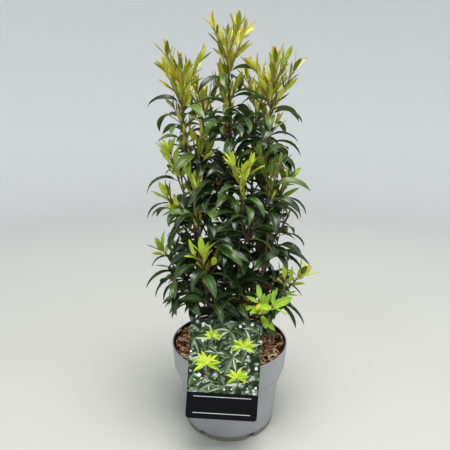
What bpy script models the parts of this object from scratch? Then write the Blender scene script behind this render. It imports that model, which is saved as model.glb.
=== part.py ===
"""Portuguese laurel with narrow leaves, grown as a bushy column in a round nursery pot.

Metres, +Z up. The origin is at the middle of the pot's underside, and -Y is the side with the card.
Bearings and rises are in degrees, bearings counted from +X towards +Y.
"""

import math
import random
from dataclasses import dataclass

import bmesh
import bpy
from mathutils import Matrix, Vector
from mathutils.bvhtree import BVHTree

UP = Vector((0.0, 0.0, 1.0))
FIT = 0.0003  # the gap left between pieces that touch
SEED = 41

# Pot
POT_HEIGHT = 0.140
RIM_RADIUS = 0.0950
RIM_LIP_WIDTH = 0.0024
RIM_LIP_DEPTH = 0.0030
COLLAR_FOOT_RADIUS = 0.0922
COLLAR_FOOT_HEIGHT = 0.1020
SHOULDER_FOOT_RADIUS = 0.0824
SHOULDER_FOOT_HEIGHT = 0.0750
WALL_FOOT_RADIUS = 0.0758
WALL = 0.0016
FOOT_HEIGHT = 0.0095
FOOT_OUTER_RADIUS = 0.0746
FOOT_INNER_RADIUS = 0.0700
FOOT_STEP = 0.0005
CENTRE_PAD_RADIUS = 0.0140
FOOT_GAPS = 6
FOOT_GAP_WIDTH = 0.0145
FOOT_GAP_DEPTH = 0.0120
FOOT_GAP_HEIGHT = 0.0085
FOOT_GAP_FIRST_BEARING = 297.0
DRAIN_START_RADIUS = 0.0520
DRAIN_LENGTH = 0.0120
DRAIN_WIDTH = 0.0078
POT_SIDES = 32

# Potting mix
MIX_HEIGHT = 0.1330
MIX_EDGE_DROP = 0.0020
MIX_SHOULDER_RADIUS = 0.0700
MIX_SHOULDER_DROP = 0.00050
MIX_FLAT_RADIUS = 0.0300
MIX_WALL_GAP = 0.0006

# Card that leans on the rim, and the stake behind it
CARD_WIDTH = 0.105
CARD_LENGTH = 0.148
CARD_THICKNESS = 0.0008
CARD_CORNER_RADIUS = 0.0050
CARD_CORNER_STEPS = 4
CARD_CENTRE_X = -0.0090
CARD_TOP_ABOVE_RIM = 0.0740
CARD_TILT = math.radians(10.5)
CARD_ROLL = math.radians(3.5)
STAKE_WIDTH = 0.018
STAKE_THICKNESS = 0.0012
STAKE_TOP_BELOW_CARD_TOP = 0.010
STAKE_DEPTH_IN_MIX = 0.030
STAKE_POINT_LENGTH = 0.016
STAKE_TILT = math.radians(3.0)

# Trunk: a short stock that ends in the knuckle from which the boughs fork
TRUNK_HEIGHT = 0.0240
TRUNK_FLARE_RADIUS = 0.0175
TRUNK_TOE_RADIUS = 0.0135
TRUNK_TOE_HEIGHT = 0.0032
TRUNK_WAIST_RADIUS = 0.0112
TRUNK_WAIST_HEIGHT = 0.0090
KNUCKLE_RADIUS = 0.0165
KNUCKLE_RISES = (-30.0, 0.0, 30.0, 60.0)
TRUNK_SIDES = 12

# Boughs: bearing and spread of the tip, its height, the radii of the foot and of the tip
BOUGHS = {
    "centre": (95.0, 0.004, 0.455, 0.0058, 0.0029),
    "left": (186.0, 0.063, 0.425, 0.0039, 0.0022),
    "right": (352.0, 0.052, 0.425, 0.0039, 0.0022),
    "back_left": (128.0, 0.064, 0.400, 0.0039, 0.0020),
    "back_right": (55.0, 0.066, 0.405, 0.0039, 0.0020),
    "front_left": (228.0, 0.068, 0.330, 0.0038, 0.0019),
    "front": (286.0, 0.052, 0.350, 0.0038, 0.0019),
    "front_right": (320.0, 0.072, 0.350, 0.0038, 0.0021),
}
MIDDLE_BOUGH = "centre"
BOUGH_RISE = 38.0
BOUGH_SIDES = 6
BOUGH_STEPS = 6
BOUGH_WANDER = 0.0025
BOUGH_WANDER_TURN = 100.0
BOUGH_FOOT_PULL = 0.75  # of the spread
MIDDLE_FOOT_PULL = 0.30  # of the rise
BOUGH_TIP_PULL = 0.42  # of the rise
BOUGH_TIP_LEAN = 0.08

# Heads: length of the leader that runs on from the bough, how many young shoots crowd its top, and how
# far they lean out
HEADS = {
    "centre": (0.134, 4, 0.58),
    "left": (0.119, 4, 0.68),
    "right": (0.117, 4, 0.66),
    "back_left": (0.110, 2, 0.55),
    "back_right": (0.112, 2, 0.55),
    "front_left": (0.052, 1, 0.50),
    "front": (0.052, 1, 0.50),
    "front_right": (0.056, 1, 0.50),
}
LEADER_TAPER = (1.0, 0.92, 0.74, 0.50)  # of the bough's tip radius
LEADER_LIFT = 0.25
LEADER_YOUNG_SHARE = 0.25
LEADER_FIRST_LEAF = 0.004
YOUNG_SHOOT_TOP = 0.006
YOUNG_SHOOT_LEAN = (0.75, 1.25)
YOUNG_SHOOT_SPACING = 0.0120
YOUNG_SHOOT_LENGTH = (0.022, 0.032)
YOUNG_SHOOT_GROWTH = 0.0085
YOUNG_SHOOT_LIFT = 0.30
YOUNG_SHOOT_RADIUS = 0.0014
YOUNG_SHOOT_FIRST_LEAF = 0.007
YOUNG_SHOOT_TURN = 55.0

# Side shoots that stand out of the crown in young leaf: bough, height, bearing, length, rise, how much of
# the shoot is young, and how far its young leaves open
SPRIGS = {
    "low_left": ("left", 0.222, 182.0, 0.092, 34.0, 0.50, 1.8),
    "upper_left": ("left", 0.372, 205.0, 0.078, 62.0, 0.55, 1.4),
    "mid_left": ("left", 0.330, 190.0, 0.060, 40.0, 0.50, 1.5),
    "front_left": ("front_left", 0.255, 268.0, 0.060, 52.0, 0.60, 1.8),
    "middle": ("left", 0.400, 320.0, 0.068, 66.0, 0.55, 1.3),
    "upper_right": ("right", 0.335, 350.0, 0.078, 50.0, 0.55, 1.5),
    "low_right": ("right", 0.184, 348.0, 0.112, 22.0, 0.50, 1.6),
    "foot_right": ("front_right", 0.198, 300.0, 0.070, 8.0, 1.00, 2.4),
}

# Side shoots that fill the front of the crown: bough, height, bearing, length, rise
FILLERS = {
    "inner_left": ("left", 0.318, 312.0, 0.062, 50.0),
    "inner_front": ("centre", 0.352, 246.0, 0.062, 44.0),
}

# Side shoots all round each bough
FIRST_SIDE_HEIGHT = 0.176
SIDE_SPACING = 0.066
SIDE_STAGGER = 0.011
SIDE_TOP_CLEARANCE = 0.014
SIDE_RISE = ((0.170, 26.0), (0.300, 42.0), (0.500, 55.0))
SIDE_LENGTH = ((0.200, 0.082), (0.270, 0.066), (0.340, 0.054), (0.500, 0.052))
MIDDLE_SIDE_LENGTH = 0.054
SIDE_SWING = 115.0
SIDE_SWING_STEP = 0.618
SIDE_SWING_START = 0.3
GOLDEN_TURN = 137.5
BEARING_TRIES = (0.0, 22.0, -22.0, 45.0, -45.0, 70.0, -70.0)
SHOOT_LIFT = 0.7
ELBOW = 0.0035
SHOOT_FIRST_LEAF = 0.0135
BRANCHES = ((0.28, 1.0), (0.56, -1.0))  # place along the shoot, and the side it goes to
BRANCH_SWING = (60.0, 90.0)
BRANCH_SPREAD = 1.1
BRANCH_LENGTH = (0.40, 0.52)  # of the shoot's
BRANCH_LIFT = 0.9
BRANCH_RADIUS = 0.0015
BRANCH_TURN = 70.0
BRANCH_FIRST_LEAF = 0.008
BRANCH_YOUNG = 0.8
BRANCH_LEAF_SIZE = 0.94

# Outline of the crown: height and radius, and height and the X of its middle
CROWN = (
    (0.130, 0.100),
    (0.160, 0.118),
    (0.200, 0.126),
    (0.270, 0.124),
    (0.330, 0.102),
    (0.400, 0.096),
    (0.520, 0.098),
    (0.600, 0.104),
    (0.650, 0.060),
)
CROWN_MIDDLE = ((0.130, 0.004), (0.200, 0.012), (0.270, 0.012), (0.340, 0.000), (0.500, -0.002))
LEAF_FLOOR = 0.137

# Room kept free of leaves: in front of the card, and round the tips of the sprigs
CARD_ROOM = 0.004
SPRIG_ROOM = 0.024
SPRIG_ROOM_SHIFT = 0.010

# Twigs and leaves
TWIG_SIDES = 3
TWIG_RADIUS = 0.0017
TWIG_TIP_RADIUS = 0.0011
OLD_LEAF_LENGTH = (0.052, 0.068)
OLD_LEAF_WIDTH = 0.36
OLD_LEAF_SPREAD = (46.0, 66.0)
OLD_LEAF_TIP_DROP = (34.0, 72.0)
OLD_LEAF_LIFT = 0.25
OLD_LEAF_FACING = 1.5
YOUNG_LEAF_LENGTH = (0.031, 0.043)
YOUNG_LEAF_WIDTH = 0.29
YOUNG_LEAF_SPREAD = (18.0, 36.0)
YOUNG_LEAF_BEND = (-14.0, 14.0)
LEAF_WIDTH_RANGE = (0.88, 1.14)
LEAF_ROLL = 24.0
LEAF_THICKNESS = 0.022
LEAF_WIDEST = 0.45
LEAF_ROOT_DEPTH = 0.00033
LEAF_BLADE_START = 0.15
LEAF_STEPS = 20
LEAF_SPACING = 0.0122
LEADER_LEAF_SPACING = 0.0086
LEAF_PLACE = 0.4
TIP_LEAF_STEP = 0.0008
TIP_LEAF_TURN = 40.0
TIP_LEAF_SIZE = 0.85
TIP_LEAF_SPREAD = 0.75
LEAF_CLEARANCE = 0.0004
LEAF_TRIES = ((0.0, 1.0), (26.0, 1.0), (-26.0, 1.0), (0.0, 0.82), (50.0, 0.9), (-50.0, 0.9))  # turn, size

# Base colour and roughness
COLOURS = {
    "pot_plastic": ((0.33, 0.345, 0.37), 0.45),
    "potting_mix": ((0.13, 0.06, 0.03), 0.95),
    "label_card": ((0.10, 0.16, 0.08), 0.35),
    "label_stake": ((0.75, 0.75, 0.73), 0.45),
    "bark": ((0.11, 0.055, 0.04), 0.80),
    "old_foliage": ((0.035, 0.09, 0.03), 0.35),
    "young_foliage": ((0.30, 0.38, 0.04), 0.40),
}


@dataclass
class Leaf:
    root: Vector
    axis: Vector
    turn: float
    spread: float
    length: float
    width: float
    roll: float
    bend: float
    drop: float
    young: bool


@dataclass
class Twig:
    route: list
    radii: list
    leaves: list


@dataclass
class Mass:
    """A head where it has no height, and otherwise a side shoot, which stands out where it is young."""

    name: str
    bough: str
    height: float = 0.0
    bearing: float = 0.0
    length: float = 0.0
    rise: float = 0.0
    young: float = 0.0
    opening: float = 1.0

    @property
    def stands_out(self):
        return self.height == 0.0 or self.young > 0.0

    @property
    def finish(self):
        return "young_foliage" if self.stands_out else "old_foliage"


def clear_scene():
    for thing in list(bpy.data.objects):
        bpy.data.objects.remove(thing)


def material(name):
    found = bpy.data.materials.get(name)
    if found:
        return found
    colour, roughness = COLOURS[name]
    made = bpy.data.materials.new(name)
    made.use_nodes = True
    shader = made.node_tree.nodes["Principled BSDF"]
    shader.inputs["Base Color"].default_value = (*colour, 1.0)
    shader.inputs["Roughness"].default_value = roughness
    shader.inputs["Metallic"].default_value = 0.0
    made.diffuse_color = (*colour, 1.0)
    return made


def object_from(name, points, faces, finish=None):
    """A mesh object in the scene, from points and faces."""
    mesh = bpy.data.meshes.new(name)
    mesh.from_pydata([tuple(p) for p in points], [], faces)
    mesh.validate()
    made = bpy.data.objects.new(name, mesh)
    bpy.context.scene.collection.objects.link(made)
    if finish:
        mesh.materials.append(material(finish))
    return made


def smooth(made, angle=35.0):
    made.data.shade_smooth()
    made.data.set_sharp_from_angle(angle=math.radians(angle))


def cut_out(made, cutter):
    """Takes a guide object's shape out of a piece."""
    cutter.hide_render = True
    cutter.display_type = "WIRE"
    cut = made.modifiers.new(cutter.name, "BOOLEAN")
    cut.operation = "DIFFERENCE"
    cut.object = cutter


def towards(bearing, rise=0.0):
    """Unit vector at a bearing, and at a rise above the level."""
    turn, lift = math.radians(bearing), math.radians(rise)
    return Vector((math.cos(turn) * math.cos(lift), math.sin(turn) * math.cos(lift), math.sin(lift)))


def on_lines(levels, height):
    """Value at a height, on straight lines between (height, value) pairs."""
    for (low, first), (high, second) in zip(levels, levels[1:]):
        if height <= high:
            share = max(0.0, (height - low) / (high - low))
            return first + (second - first) * share
    return levels[-1][1]


def turned(profile, sides):
    """Points and faces of a profile of (radius, height) turned about Z. It runs from the axis, outwards
    and upwards, and back to the axis."""
    points, rings, faces = [], [], []
    for radius, height in profile:
        start = len(points)
        if radius == 0:
            points.append((0.0, 0.0, height))
            rings.append([start] * sides)
            continue
        for i in range(sides):
            turn = 2 * math.pi * i / sides
            points.append((radius * math.cos(turn), radius * math.sin(turn), height))
        rings.append(list(range(start, start + sides)))
    for lower, upper in zip(rings, rings[1:]):
        for i in range(sides):
            j = (i + 1) % sides
            corners = [lower[i], lower[j], upper[j], upper[i]]
            faces.append([c for k, c in enumerate(corners) if c not in corners[:k]])
    return points, faces


def plate(outline, front, back):
    """Points and faces of an upright plate between two values of Y. Its outline of (x, z) runs
    anticlockwise as seen from the front."""
    count = len(outline)
    points = [(x, y, z) for y in (front, back) for x, z in outline]
    faces = [list(range(count)), list(range(count, 2 * count))[::-1]]
    for i in range(count):
        j = (i + 1) % count
        faces.append([i, count + i, count + j, j])
    return points, faces


def tube(path, radii, sides):
    """Points and faces of a closed tube along a path, with a radius at each of its points."""
    points, faces = [], []
    across = (path[1] - path[0]).orthogonal().normalized()
    for k, (centre, radius) in enumerate(zip(path, radii)):
        behind, ahead = path[max(k - 1, 0)], path[min(k + 1, len(path) - 1)]
        direction = (ahead - behind).normalized()
        across = (across - direction * across.dot(direction)).normalized()
        other = direction.cross(across)
        for i in range(sides):
            turn = 2 * math.pi * i / sides
            points.append(centre + (across * math.cos(turn) + other * math.sin(turn)) * radius)
    for k in range(len(path) - 1):
        for i in range(sides):
            j = (i + 1) % sides
            faces.append([k * sides + i, k * sides + j, (k + 1) * sides + j, (k + 1) * sides + i])
    faces.append(list(range(sides))[::-1])
    faces.append(list(range((len(path) - 1) * sides, len(path) * sides)))
    return points, faces


def joined(shapes):
    """One list of points and one of faces from several shapes."""
    points, faces = [], []
    for more_points, more_faces in shapes:
        shift = len(points)
        points += more_points
        faces += [[c + shift for c in face] for face in more_faces]
    return points, faces


def bezier(corners, steps):
    """Points on the cubic curve with these four corners."""
    a, b, c, d = corners
    made = []
    for k in range(steps + 1):
        t = k / steps
        s = 1 - t
        made.append(a * s**3 + b * 3 * s * s * t + c * 3 * s * t * t + d * t**3)
    return made


def inner_pot_radius(height):
    """Radius of the pot's inside at a height."""
    levels = (
        (FOOT_HEIGHT, WALL_FOOT_RADIUS),
        (SHOULDER_FOOT_HEIGHT, SHOULDER_FOOT_RADIUS),
        (COLLAR_FOOT_HEIGHT, COLLAR_FOOT_RADIUS),
        (POT_HEIGHT, RIM_RADIUS),
    )
    return on_lines(levels, height) - WALL


def make_pot():
    """Thin wall with a flared collar, a raised floor, a ring of feet and drain slots."""
    floor_top = FOOT_HEIGHT + WALL
    lip_foot = POT_HEIGHT - RIM_LIP_DEPTH
    inner_heights = (lip_foot, COLLAR_FOOT_HEIGHT, SHOULDER_FOOT_HEIGHT, floor_top)
    profile = [
        (0.0, 0.0),
        (CENTRE_PAD_RADIUS, 0.0),
        (CENTRE_PAD_RADIUS, FOOT_HEIGHT),
        (FOOT_INNER_RADIUS, FOOT_HEIGHT),
        (FOOT_INNER_RADIUS, 0.0),
        (FOOT_OUTER_RADIUS, 0.0),
        (FOOT_OUTER_RADIUS, FOOT_HEIGHT - FOOT_STEP),
        (WALL_FOOT_RADIUS, FOOT_HEIGHT),
        (SHOULDER_FOOT_RADIUS, SHOULDER_FOOT_HEIGHT),
        (COLLAR_FOOT_RADIUS, COLLAR_FOOT_HEIGHT),
        (RIM_RADIUS, POT_HEIGHT),
        (RIM_RADIUS - RIM_LIP_WIDTH, POT_HEIGHT),
        *[(inner_pot_radius(h), h) for h in inner_heights],
        (0.0, floor_top),
    ]
    pot = object_from("pot", *turned(profile, POT_SIDES), "pot_plastic")
    cut_out(pot, make_pot_cutter())
    smooth(pot)
    return pot


def make_pot_cutter():
    """Blocks that open the gaps between the feet, and the drain slots in the floor."""
    blocks = bmesh.new()
    gap_centre = Matrix.Translation(((FOOT_INNER_RADIUS + FOOT_OUTER_RADIUS) / 2, 0.0, 0.0))
    gap_size = Matrix.Diagonal((FOOT_GAP_DEPTH, FOOT_GAP_WIDTH, 2 * FOOT_GAP_HEIGHT, 1.0))
    drain_centre = Matrix.Translation((DRAIN_START_RADIUS + DRAIN_LENGTH / 2, 0.0, FOOT_HEIGHT))
    drain_size = Matrix.Diagonal((DRAIN_LENGTH, DRAIN_WIDTH, 4 * WALL, 1.0))
    for k in range(FOOT_GAPS):
        spin = Matrix.Rotation(math.radians(FOOT_GAP_FIRST_BEARING + 360.0 * k / FOOT_GAPS), 4, "Z")
        bmesh.ops.create_cube(blocks, size=1.0, matrix=spin @ gap_centre @ gap_size)
        bmesh.ops.create_cube(blocks, size=1.0, matrix=spin @ drain_centre @ drain_size)
    cutter = object_from("pot_cutter", [], [])
    blocks.to_mesh(cutter.data)
    blocks.free()
    return cutter


def make_mix():
    """The potting mix, which fills the pot and has a flat middle under the trunk."""
    floor = FOOT_HEIGHT + WALL + FIT
    wall_heights = (floor, SHOULDER_FOOT_HEIGHT, COLLAR_FOOT_HEIGHT, MIX_HEIGHT - MIX_EDGE_DROP)
    profile = [
        (0.0, floor),
        *[(inner_pot_radius(h) - MIX_WALL_GAP, h) for h in wall_heights],
        (MIX_SHOULDER_RADIUS, MIX_HEIGHT - MIX_SHOULDER_DROP),
        (MIX_FLAT_RADIUS, MIX_HEIGHT),
        (0.0, MIX_HEIGHT),
    ]
    mix = object_from("potting_mix", *turned(profile, POT_SIDES), "potting_mix")
    cut_out(mix, make_stake("stake_slot", FIT))
    smooth(mix)
    return mix


def card_back(height):
    """Y of the card's back at a height. The card leans on the rim, its foot out and its head in."""
    return -(RIM_RADIUS + FIT) + (height - POT_HEIGHT) * math.tan(CARD_TILT)


def make_card():
    """The plant card, with rounded corners."""
    outline = []
    for k, (side, end) in enumerate(((1, 1), (-1, 1), (-1, -1), (1, -1))):
        middle_x = side * (CARD_WIDTH / 2 - CARD_CORNER_RADIUS)
        middle_z = end * (CARD_LENGTH / 2 - CARD_CORNER_RADIUS)
        for i in range(CARD_CORNER_STEPS + 1):
            turn = math.radians(90.0 * (k + i / CARD_CORNER_STEPS))
            x = middle_x + CARD_CORNER_RADIUS * math.cos(turn)
            outline.append((x, middle_z + CARD_CORNER_RADIUS * math.sin(turn)))
    card = object_from("label_card", *plate(outline, -CARD_THICKNESS, 0.0), "label_card")
    height = POT_HEIGHT + CARD_TOP_ABOVE_RIM - CARD_LENGTH / 2 * math.cos(CARD_TILT)
    place = Matrix.Translation((CARD_CENTRE_X, card_back(height), height))
    tilt = Matrix.Rotation(-CARD_TILT, 4, "X")
    card.matrix_world = place @ tilt @ Matrix.Rotation(CARD_ROLL, 4, "Y")
    return card


def make_stake(name, grow=0.0, finish=None):
    """The flat stake behind the card, pointed at its foot and pushed into the mix."""
    top = POT_HEIGHT + CARD_TOP_ABOVE_RIM - STAKE_TOP_BELOW_CARD_TOP
    foot = -(top - (MIX_HEIGHT - STAKE_DEPTH_IN_MIX))
    half, point = STAKE_WIDTH / 2 + grow, foot + STAKE_POINT_LENGTH
    outline = [(0.0, foot - grow), (half, point), (half, grow), (-half, grow), (-half, point)]
    stake = object_from(name, *plate(outline, -grow, STAKE_THICKNESS + grow), finish)
    place = Matrix.Translation((CARD_CENTRE_X, card_back(top) + FIT, top))
    stake.matrix_world = place @ Matrix.Rotation(STAKE_TILT, 4, "X")
    return stake


def knuckle_centre():
    return Vector((0.0, 0.0, MIX_HEIGHT + FIT + TRUNK_HEIGHT))


def make_trunk():
    """The stock: a flat cut on the mix, a root flare, a waist and the knuckle."""
    base, middle = MIX_HEIGHT + FIT, knuckle_centre().z
    profile = [
        (0.0, base),
        (TRUNK_FLARE_RADIUS, base),
        (TRUNK_TOE_RADIUS, base + TRUNK_TOE_HEIGHT),
        (TRUNK_WAIST_RADIUS, base + TRUNK_WAIST_HEIGHT),
    ]
    for rise in KNUCKLE_RISES:
        lift = math.radians(rise)
        profile.append((KNUCKLE_RADIUS * math.cos(lift), middle + KNUCKLE_RADIUS * math.sin(lift)))
    profile.append((0.0, middle + KNUCKLE_RADIUS))
    trunk = object_from("trunk", *turned(profile, TRUNK_SIDES), "bark")
    smooth(trunk, 60.0)
    return trunk


def bough_route(name):
    """Centre line of a bough: out of the knuckle, then up to its tip."""
    bearing, spread, height, *_ = BOUGHS[name]
    rng = random.Random(f"{SEED} {name}")
    middle = name == MIDDLE_BOUGH
    out = towards(bearing, 90.0 if middle else BOUGH_RISE)
    start = knuckle_centre() + out * (KNUCKLE_RADIUS + FIT)
    tip = towards(bearing) * spread + UP * height
    rise = tip.z - start.z
    first = start + out * (MIDDLE_FOOT_PULL * rise if middle else BOUGH_FOOT_PULL * spread)
    last = tip - (UP + towards(bearing) * BOUGH_TIP_LEAN) * (BOUGH_TIP_PULL * rise)
    route = bezier((start, first, last, tip), BOUGH_STEPS)
    phase = rng.uniform(0.0, 360.0)
    for k in range(2, BOUGH_STEPS):
        sway = BOUGH_WANDER * math.sin(math.pi * k / BOUGH_STEPS)
        route[k] += towards(phase + BOUGH_WANDER_TURN * k) * sway
    return route


def bough_radii(name):
    *_, foot, tip = BOUGHS[name]
    return [foot + (tip - foot) * k / BOUGH_STEPS for k in range(BOUGH_STEPS + 1)]


def on_bough(name, height):
    """Point, direction and radius of a bough where it passes a height."""
    route, radii = bough_route(name), bough_radii(name)
    step = next((k for k in range(BOUGH_STEPS) if height <= route[k + 1].z), BOUGH_STEPS - 1)
    low, high = route[step], route[step + 1]
    share = min(1.0, (height - low.z) / (high.z - low.z))
    radius = radii[step] + (radii[step + 1] - radii[step]) * share
    return low.lerp(high, share), (high - low).normalized(), radius


def make_bough(name):
    bough = object_from(f"bough_{name}", *tube(bough_route(name), bough_radii(name), BOUGH_SIDES), "bark")
    smooth(bough, 70.0)
    return bough


def shoot_route(start, direction, length, lift, steps):
    """A shoot's centre line, which turns up towards the light."""
    route, way = [start], direction.normalized()
    for _ in range(steps):
        way = (way + UP * lift / steps).normalized()
        route.append(route[-1] + way * (length / steps))
    return route


def along(route, distance):
    """Point and direction at a distance along a route."""
    for a, b in zip(route, route[1:]):
        step = (b - a).length
        if distance <= step:
            return a.lerp(b, distance / step), (b - a).normalized()
        distance -= step
    return route[-1].copy(), (route[-1] - route[-2]).normalized()


def route_length(route):
    return sum((b - a).length for a, b in zip(route, route[1:]))


def tapered(route, foot):
    """Radii from a foot's to a twig tip's, at a route's points."""
    last = len(route) - 1
    return [foot + (TWIG_TIP_RADIUS - foot) * k / last for k in range(last + 1)]


def leaf_on(rng, point, axis, turn, young, size=1.0):
    """A leaf at a point of a twig."""
    spread = math.radians(rng.uniform(*(YOUNG_LEAF_SPREAD if young else OLD_LEAF_SPREAD)))
    length = rng.uniform(*(YOUNG_LEAF_LENGTH if young else OLD_LEAF_LENGTH)) * size
    width = length * (YOUNG_LEAF_WIDTH if young else OLD_LEAF_WIDTH) * rng.uniform(*LEAF_WIDTH_RANGE)
    roll = math.radians(rng.uniform(-LEAF_ROLL, LEAF_ROLL))
    bend = math.radians(rng.uniform(*YOUNG_LEAF_BEND))
    drop = math.radians(rng.uniform(*OLD_LEAF_TIP_DROP))
    return Leaf(point, axis, turn, spread, length, width, roll, bend, drop, young)


def leaf_frame(leaf, extra_turn):
    """Direction, side and bend of a leaf: old leaves arch over towards the ground, young ones stand."""
    axis = leaf.axis
    radial = axis.orthogonal().normalized()
    radial.rotate(Matrix.Rotation(math.radians(leaf.turn + extra_turn), 3, axis))
    direction = axis * math.cos(leaf.spread) + radial * math.sin(leaf.spread)
    faced, bend = axis, leaf.bend
    if not leaf.young:
        direction = (direction + UP * OLD_LEAF_LIFT).normalized()
        faced = axis + UP * OLD_LEAF_FACING
        bend = math.asin(max(-1.0, min(1.0, direction.z))) + leaf.drop
    side = faced.cross(direction).normalized()
    side.rotate(Matrix.Rotation(leaf.roll, 3, direction))
    return direction, side, bend


def leaf_line(leaf, direction, side, bend, length, shares):
    """Points of the midrib, with the direction at each, at these shares of the leaf's length."""
    here = leaf.root.copy()
    line = [(here, direction)]
    for k in range(LEAF_STEPS):
        way = Matrix.Rotation(bend * (k + 0.5) / LEAF_STEPS, 3, side) @ direction
        here = here + way * (length / LEAF_STEPS)
        line.append((here, way))
    return [line[round(s * LEAF_STEPS)] for s in shares]


def leaf_solid(leaf, extra_turn=0.0, size=1.0, start=0.0, grow=0.0):
    """Points and faces of a leaf as a closed solid. It widens from a point inside its twig, and narrows
    to its tip. The keel below is bent in an old leaf, and straight in a young one."""
    length = leaf.length * size
    direction, side, bend = leaf_frame(leaf, extra_turn)
    line = leaf_line(leaf, direction, side, bend, length, (start, LEAF_WIDEST, 1.0))
    (root, _), (middle, way), (tip, last) = line
    root = root - direction * LEAF_ROOT_DEPTH
    tip = tip + last * grow
    upper = way.cross(side).normalized()
    half = side * (leaf.width * size / 2 + grow)
    keel = length * LEAF_THICKNESS + grow
    if leaf.young:
        middle = root.lerp(tip, LEAF_WIDEST) + upper * keel
        return [root, middle + half, middle - half, tip], [[0, 2, 1], [1, 2, 3], [0, 1, 3], [0, 3, 2]]
    rib = middle + upper * grow
    points = [root, rib + half, rib - half, middle - upper * keel, tip]
    return points, [[0, 2, 1], [0, 3, 2], [0, 1, 3], [1, 2, 4], [2, 3, 4], [3, 1, 4]]


def leafy_twig(rng, route, radii, phase, first, young=0.0, size=1.0, tips=3, spacing=LEAF_SPACING):
    """A twig and its leaves, old ones below and a share of young ones above, set round it by the golden
    turn, with a few upright ones at its tip."""
    leaves = []
    length = route_length(route)
    count = max(1, round((length - first) / spacing))
    for k in range(count):
        share = (k + LEAF_PLACE) / count
        point, axis = along(route, first + (length - first) * share)
        leaves.append(leaf_on(rng, point, axis, phase + GOLDEN_TURN * k, share > 1.0 - young, size))
    for k in range(tips):
        point, axis = along(route, length - TIP_LEAF_STEP * (k + 1))
        turn = phase + TIP_LEAF_TURN + 360.0 * k / tips
        leaf = leaf_on(rng, point, axis, turn, young > 0.0, TIP_LEAF_SIZE * size)
        leaf.spread *= TIP_LEAF_SPREAD
        leaves.append(leaf)
    return Twig(route, radii, leaves)


def side_shoot(mass, bearing):
    """Twigs of a side shoot, which leaves its bough squarely and carries smaller shoots."""
    rng = random.Random(f"{SEED} {mass.name}")
    point, axis, radius = on_bough(mass.bough, mass.height)
    square = towards(bearing)
    square = (square - axis * square.dot(axis)).normalized()
    start = point + square * (radius + FIT)
    elbow = start + square * ELBOW
    route = [start, *shoot_route(elbow, towards(bearing, mass.rise), mass.length, SHOOT_LIFT, 2)]
    radii = tapered(route, TWIG_RADIUS)
    phase = rng.uniform(0.0, 360.0)
    tips = 4 if mass.young else 2
    twigs = [leafy_twig(rng, route, radii, phase, SHOOT_FIRST_LEAF, mass.young, 1.0, tips)]
    phase += BRANCH_TURN
    for share, side in BRANCHES:
        fork, way = along(route, mass.length * share)
        out = towards(bearing + side * rng.uniform(*BRANCH_SWING))
        length = mass.length * rng.uniform(*BRANCH_LENGTH)
        branch = shoot_route(fork, way + out * BRANCH_SPREAD, length, BRANCH_LIFT, 1)
        radii = tapered(branch, BRANCH_RADIUS)
        young = mass.young * BRANCH_YOUNG
        twigs.append(leafy_twig(rng, branch, radii, phase, BRANCH_FIRST_LEAF, young, BRANCH_LEAF_SIZE, 2))
    for leaf in (leaf for twig in twigs for leaf in twig.leaves if leaf.young):
        leaf.spread *= mass.opening
    return twigs


def head_shoots(mass):
    """Twigs of a bough's head: the leader runs on with arching old leaves, and young shoots crowd its top."""
    rng = random.Random(f"{SEED} {mass.name}")
    length, young_shoots, lean = HEADS[mass.bough]
    route = bough_route(mass.bough)
    axis = (route[-1] - route[-2]).normalized()
    leader = shoot_route(route[-1] + axis * FIT, axis, length, LEADER_LIFT, len(LEADER_TAPER) - 1)
    radii = [bough_radii(mass.bough)[-1] * share for share in LEADER_TAPER]
    phase = rng.uniform(0.0, 360.0)
    first, young = LEADER_FIRST_LEAF, LEADER_YOUNG_SHARE
    twigs = [leafy_twig(rng, leader, radii, phase, first, young, 1.0, 4, LEADER_LEAF_SPACING)]
    for k in range(young_shoots):
        fork, way = along(leader, length - YOUNG_SHOOT_TOP - YOUNG_SHOOT_SPACING * k)
        out = towards(phase + GOLDEN_TURN * k) * lean * rng.uniform(*YOUNG_SHOOT_LEAN)
        reach = rng.uniform(*YOUNG_SHOOT_LENGTH) + YOUNG_SHOOT_GROWTH * k
        shoot = shoot_route(fork, way + out, reach, YOUNG_SHOOT_LIFT, 1)
        radii = tapered(shoot, YOUNG_SHOOT_RADIUS)
        turn = phase + YOUNG_SHOOT_TURN * k
        twigs.append(leafy_twig(rng, shoot, radii, turn, YOUNG_SHOOT_FIRST_LEAF, 1.0))
    return twigs


def side_places(bough):
    """Height and bearing of each side shoot of a bough: all round the middle one, outwards on the others."""
    outward, _, tip_height, *_ = BOUGHS[bough]
    height = FIRST_SIDE_HEIGHT + SIDE_STAGGER * (list(BOUGHS).index(bough) % 3)
    places = []
    while height < tip_height - SIDE_TOP_CLEARANCE:
        number = len(places)
        swing = SIDE_SWING * (2.0 * ((number * SIDE_SWING_STEP + SIDE_SWING_START) % 1.0) - 1.0)
        bearing = outward + (GOLDEN_TURN * number if bough == MIDDLE_BOUGH else swing)
        places.append((height, bearing))
        height += SIDE_SPACING
    return places


def plan_masses():
    """The masses of foliage, in the order in which they take their space."""
    masses = [Mass(f"head_{bough}", bough) for bough in BOUGHS]
    masses += [Mass(f"sprig_{name}", *sizes) for name, sizes in SPRIGS.items()]
    masses += [Mass(f"foliage_{name}", *sizes) for name, sizes in FILLERS.items()]
    for bough in BOUGHS:
        for number, (height, bearing) in enumerate(side_places(bough), 1):
            rise = on_lines(SIDE_RISE, height)
            length = MIDDLE_SIDE_LENGTH if bough == MIDDLE_BOUGH else on_lines(SIDE_LENGTH, height)
            masses.append(Mass(f"foliage_{bough}_{number}", bough, height, bearing, length, rise))
    return masses


def twigs_of(mass, offset):
    """The twigs of a mass, turned round its bough by an offset."""
    if not mass.height:
        return head_shoots(mass)
    return side_shoot(mass, mass.bearing + (offset / 2 if mass.stands_out else offset))


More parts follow.
